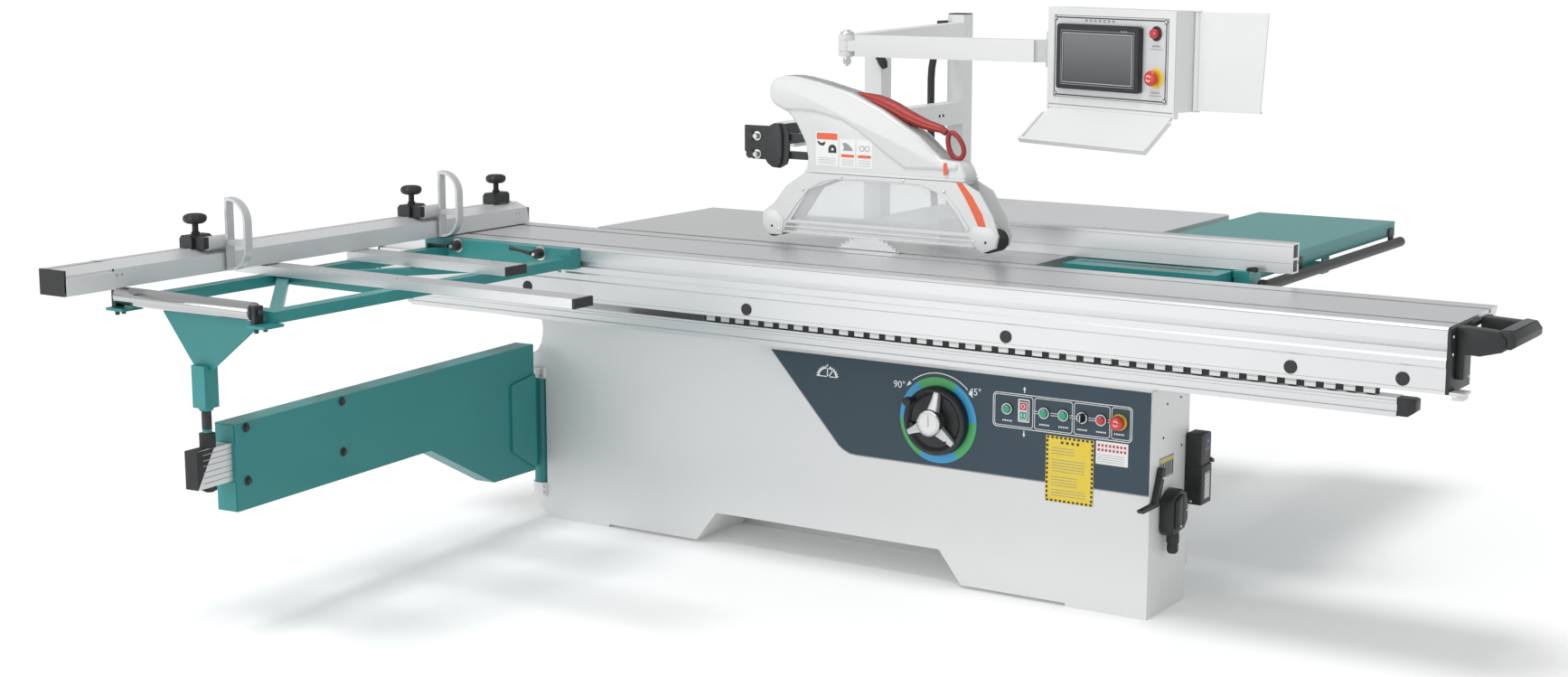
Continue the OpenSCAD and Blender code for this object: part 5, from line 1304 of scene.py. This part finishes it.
def buildFence():
    body, slot = "fence", "anodised"
    y0, y1 = -1852, -264
    top = 956.0
    addBlock("scaleTape", (-1119.4, y0 + 40, top - 0.1), (-1112.4, y1 - 20, top + 0.25), whiteFoil,
             body, 0)
    addTicks("scaleFine", (-1114.6, y1 - 24, top + 0.3), (0, -5, 0), (3, 0.5, 0.12), 300, greyInk,
             body)
    addTicks("scaleCoarse", (-1116, y1 - 24, top + 0.3), (0, -50, 0), (6, 0.9, 0.12), 31, blackInk,
             body)
    for name, x in (("A", -1146), ("B", -1138)):
        addBlock("fenceGroove" + name, (x, y0 + 1, top - 0.1), (x + 1.2, y1 - 1, top + 0.12),
                 greyInk, body, 0)
    addFittings("fenceScrews", [(-1071.8, y, 925) for y in (-1838, -1822)] + [(-1071.8, -300, 925),
        (-1071.8, -316, 925)],
                (1, 0, 0), 3.2, 0.8, machinedSteel, body, 16)
    addBlock("fenceEndFront", (-1072.1, -1852, 893.4), (-1071.6, -1847.5, 942), softBlack, body,
             0)
    addBlock("fenceEndTop", (-1150, -1852, 955.9), (-1112, -1848, 956.4), softBlack, body, 0)
    addFittings("fenceEndScrews", [(-1135, -256.8, 930), (-1090, -256.8, 930)], (0, 1, 0), 3.4, 1.6,
                zincBolt, body, 12)
    for name, x in (("A", -1146), ("B", -1128), ("C", -1118)):
        addBlock("headGroove" + name, (x, -2001, top - 0.1), (x + 1.2, -1854, top + 0.15), greyInk,
                 "fence_slide", 0)
    cap = fenceSizes["cap"]
    addProfile("headCap", cap, "y", -2008.2, -2002.4, softBlack, "fence_slide",
               1.0)
    addFittings("headScrews", [(-1138, -2008.0, 915), (-1090, -2008.0, 915)], (0, -1, 0), 3.6, 0.4,
                zincBolt, "fence_slide", 12)
    # knob grips and stop details
    for number, y in ((1, -1528), (2, -712), (3, -340)):
        owner = f"stop_{number}"
        x = -1128.5
        bm = bmesh.new()
        steps, rings = 60, []
        for radius, z in ((20, 1018), (27, 1021), (30.5, 1027), (31, 1033), (28, 1039),
                          (20, 1042.4), (8, 1043.4)):
            ring = []
            for k in range(steps):
                t = 2 * math.pi * k / steps
                lobe = 1 - 0.045 * (1 + math.cos(10 * t)) * (1 if radius > 25 else 0.3)
                ring.append(bm.verts.new(metres(x + radius * lobe * math.cos(t),
                                                y + radius * lobe * math.sin(t), z)))
            rings.append(ring)
        for a, b in zip(rings, rings[1:]):
            for k in range(steps):
                bm.faces.new((a[k], a[(k + 1) % steps], b[(k + 1) % steps], b[k]))
        bm.faces.new(rings[0])
        bm.faces.new(list(reversed(rings[-1])))
        addPiece(f"knobCap{number}", bm, softBlack, owner, 40)
        addTurned(f"knobCollar{number}", (x, y, 989.6), (0, 0, 1),
                  [(11, 0), (11, 5), (8, 8), (8, 28)], softBlack, owner, 28)
        addBlock(f"stopSight{number}", (-1108.6, y - 12, 957.4), (-1103.4, y + 12, 958.6),
                 clearSheet, owner, 0.4)
    for number, y in ((1, -1528), (2, -712)):
        addTurned(f"hubCap{number}", (-1085, y - 6.6, 968), (0, -1, 0),
                  [(18.2, 0), (18.2, 1), (15, 2), (1, 2.2)], ringAluminium, f"plate_{number}",
                  36)
        addFittings(f"plateScrew{number}", [(-1062, y + 43.4, 963), (-1062, y + 43.4, 973)],
                    (0, -1, 0), 3, 1.6, zincBolt, f"plate_{number}", 12)
    print("crosscut fence built")


buildFence()


# swing arm

def armPoint(across, along, z):
    t = math.radians(5)
    return (-1015 + across * math.cos(t) + along * math.sin(t),
            -280 + across * math.sin(t) - along * math.cos(t), z)


def buildArm():
    body = "arm"
    t = math.radians(5)
    outward = (math.cos(t), math.sin(t), 0)
    for side, sign in (("Right", 1), ("Left", -1)):
        towards = tuple(sign * v for v in outward)
        points = [armPoint(sign * 33, s, z) for s, z in ((1359, 530), (983, 530), (1359, 393),
                                                         (983, 393))]
        addFittings("armBoltSeats" + side, points, towards, 13, 2, blackPaintAndShade, body,
                    28)
        points = [armPoint(sign * 35.6, s, z) for s, z in ((1359, 530), (983, 530), (1359, 393),
                                                           (983, 393))]
        addFittings("armBolts" + side, points, towards, 8.4, 5.4, blackPaintAndShade, body,
                    6)
    bm = bmesh.new()
    for low, high, left, right in ((323, 398, -30, 30), (499, 542, -30, 30)):
        addOutlineAt(bm, [(left, low), (right, low), (right, high), (left, high)], 1400.2, 1402.4)
    addPiece("armEndPlate", bm, tealPowder, body, 40)
    # grooves along the tube's sides
    for number, z in enumerate((412, 426, 440, 456, 470, 484)):
        for side, sign in (("Right", 1), ("Left", -1)):
            bm = bmesh.new()
            addOutlineAt(bm, [(sign * 19.9, z), (sign * 20.25, z), (sign * 20.25, z + 2.2),
                              (sign * 19.9, z + 2.2)], 340, 1504)
            addPiece(f"tubeGroove{side}{number}", bm, greyInk, "arm_tube")
    # hinge: pin heads and ear bolts
    for name, z, towards in (("Top", 462, 1), ("Bottom", 65, -1)):
        addTurned("hingeHead" + name, (-1015, -280, z), (0, 0, towards),
                  [(15, 0), (15, 3), (12, 6), (1, 6.6)], zincBolt, "base", 28)
    addFittings("earBolts", [(-990, -311.5, z) for z in (78, 95, 440, 454)], (0, -1, 0), 5.5, 4,
                zincBolt, "base", 6)
    print("swing arm built")


def addOutlineAt(bm, points, near, far):
    first = [bm.verts.new(metres(*armPoint(a, near, z))) for a, z in points]
    last = [bm.verts.new(metres(*armPoint(a, far, z))) for a, z in points]
    bm.faces.new(first)
    bm.faces.new(list(reversed(last)))
    for i in range(len(points)):
        j = (i + 1) % len(points)
        bm.faces.new((first[i], last[i], last[j], first[j]))


buildArm()


electricSizes = dict(
    inletHousing=[(-240, 224), (-228, 214), (-160, 222), (-144, 240), (-144, 300), (-152, 318),
                  (-180, 331), (-200, 329), (-236, 312), (-240, 300)],
    inletLid=[(-228, 232), (-196, 228), (-196, 322), (-228, 308)],
    inletCover=[(-192, 232), (-166, 236), (-156, 250), (-156, 296), (-166, 312), (-192, 322)],
    inletGland=[(13, -4), (16, 4), (17, 14), (17, 30), (14, 36), (15, 40), (15, 54), (11, 60),
                (2, 61)],
    driveTop=[(-81, 366), (-15, 366), (-15, 452), (-20, 457), (-76, 457), (-81, 452)],
    driveBase=[(-81, 266), (-15, 266), (-15, 372), (-81, 372)],
    driveLug=[(-15, 372), (4, 368), (4, 378), (-15, 386)],
)


def buildElectrics():
    body, slot = "base", "black_plastic"
    inlet = addProfile("inletHousing", electricSizes["inletHousing"], "x", 1000.2, 1040,
                       blackPlastic, body, 6, 3, 50, 50)
    addProfile("inletLid", electricSizes["inletLid"], "x", 1036, 1049.6, blackPlastic, body,
               5, 3, 50, 50)
    addProfile("inletCover", electricSizes["inletCover"], "x", 1034, 1047, blackPlastic, body,
               6, 3, 50, 50)
    addFittings("inletScrews", [(1048, -176, 276), (1046, -146, 292), (1050, -212, 240)], (1, 0, 0),
                3.4, 3, zincBolt, body, 12)
    addTurned("inletGland", (1024, -200, 222), (0, 0, -1), electricSizes["inletGland"],
              blackPlastic, body, 28)
    drive = addProfile("driveTop", electricSizes["driveTop"], "x", 1000.2, 1046, blackPlastic, body,
                       3, 2, 40, 40)
    addProfile("driveBase", electricSizes["driveBase"], "x", 1000.2, 1049.6, blackPlastic, body,
               3, 2, 40, 40)
    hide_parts("electrical_boxes")
    flatShape("driveScreen", [rectPoints(-60, 402, -22, 448, 3)], "x", 1046, 0.6, slatePlate, body)
    flatShape("driveDial", [circlePoints(-40, 434, 4)], "x", 1046.6, 0.8, greyInk, body)
    addTicks("driveLamps", (1046.9, -54, 414), (0, 8, 0), (0.4, 4, 4), 4, redLens, body)
    flatShape("drivePlate", [rectPoints(-62, 280, -28, 352)], "x", 1049.6, 0.4, greyInk, body)
    addTicks("driveLines", (1050.2, -45, 286), (0, 0, 6.4), (0.4, 28, 2.6), 10, whiteInk, body)
    addTicks("driveVents", (1025, -81.2, 276), (0, 0, 9), (36, 0.6, 4), 9, softBlack, body)
    addProfile("driveLug", electricSizes["driveLug"], "x", 1028, 1049, blackPlastic, body, 2,
               2, 40, 40)
    print("electrics built")


buildElectrics()


ripSizes = dict(
    ripCapLeft=[(-9, 892), (29, 892), (29, 910), (24, 916), (29, 922), (29, 967), (-9, 967)],
    ripKnob=[(8, 0), (8, 10), (18, 12), (21, 18), (21, 28), (17, 33), (1, 34)],
    ripLever=[(1120, 10, 888), (1130, -8, 893), (1146, -26, 897), (1164, -44, 899)],
)


def buildRipFence():
    body = "rip"
    for name, z in (("Low", 916.5), ("High", 960)):
        addBlock("ripLine" + name, (211, -11.25, z), (1249, -10.9, z + 1), greyInk, body,
                 0)
    addProfile("ripCapLeft", ripSizes["ripCapLeft"], "x", 208.4, 210.2, whiteFoil, body)
    addTurned("ripKnob", (1141, 10, 846), (1, 0, 0), ripSizes["ripKnob"], softBlack, body,
              32)
    addTube("ripLever", ripSizes["ripLever"], [7, 6, 5.5, 7.5], 16, softBlack, body,
            50)
    addFittings("ripScrews", [(x, 30, 970) for x in (300, 700, 1100)], (0, 0, 1), 3, 1,
                machinedSteel, body, 12)
    # rule in the side table's slot, screws of the tables
    addBlock("sideRule", (676, -76.5, 886.9), (1054, -67.5, 887.9), blackPaintAndShade, "base",
             0.3)
    addTicks("sideRuleMarks", (680, -72, 888), (10, 0, 0), (0.7, 5, 0.16), 37, whiteInk, "base")
    addBlock("sideSlot", (676, -60, 887.8), (1054, -56, 888.2), softBlack, "base", 0)
    addFittings("barEndScrew", [(1115, -206, 850)], (0, -1, 0), 5, 3, zincBolt, "base",
                12)
    # black strip along the main table's near edge: painted shade of the dark gap at the table's edge
    addBlock("tableEdgeShade", (330, -204.6, 876.5), (614, -120, 889.9), blackPaintAndShade, "base",
             0)
    print("rip fence built")


buildRipFence()

print("all pieces built")
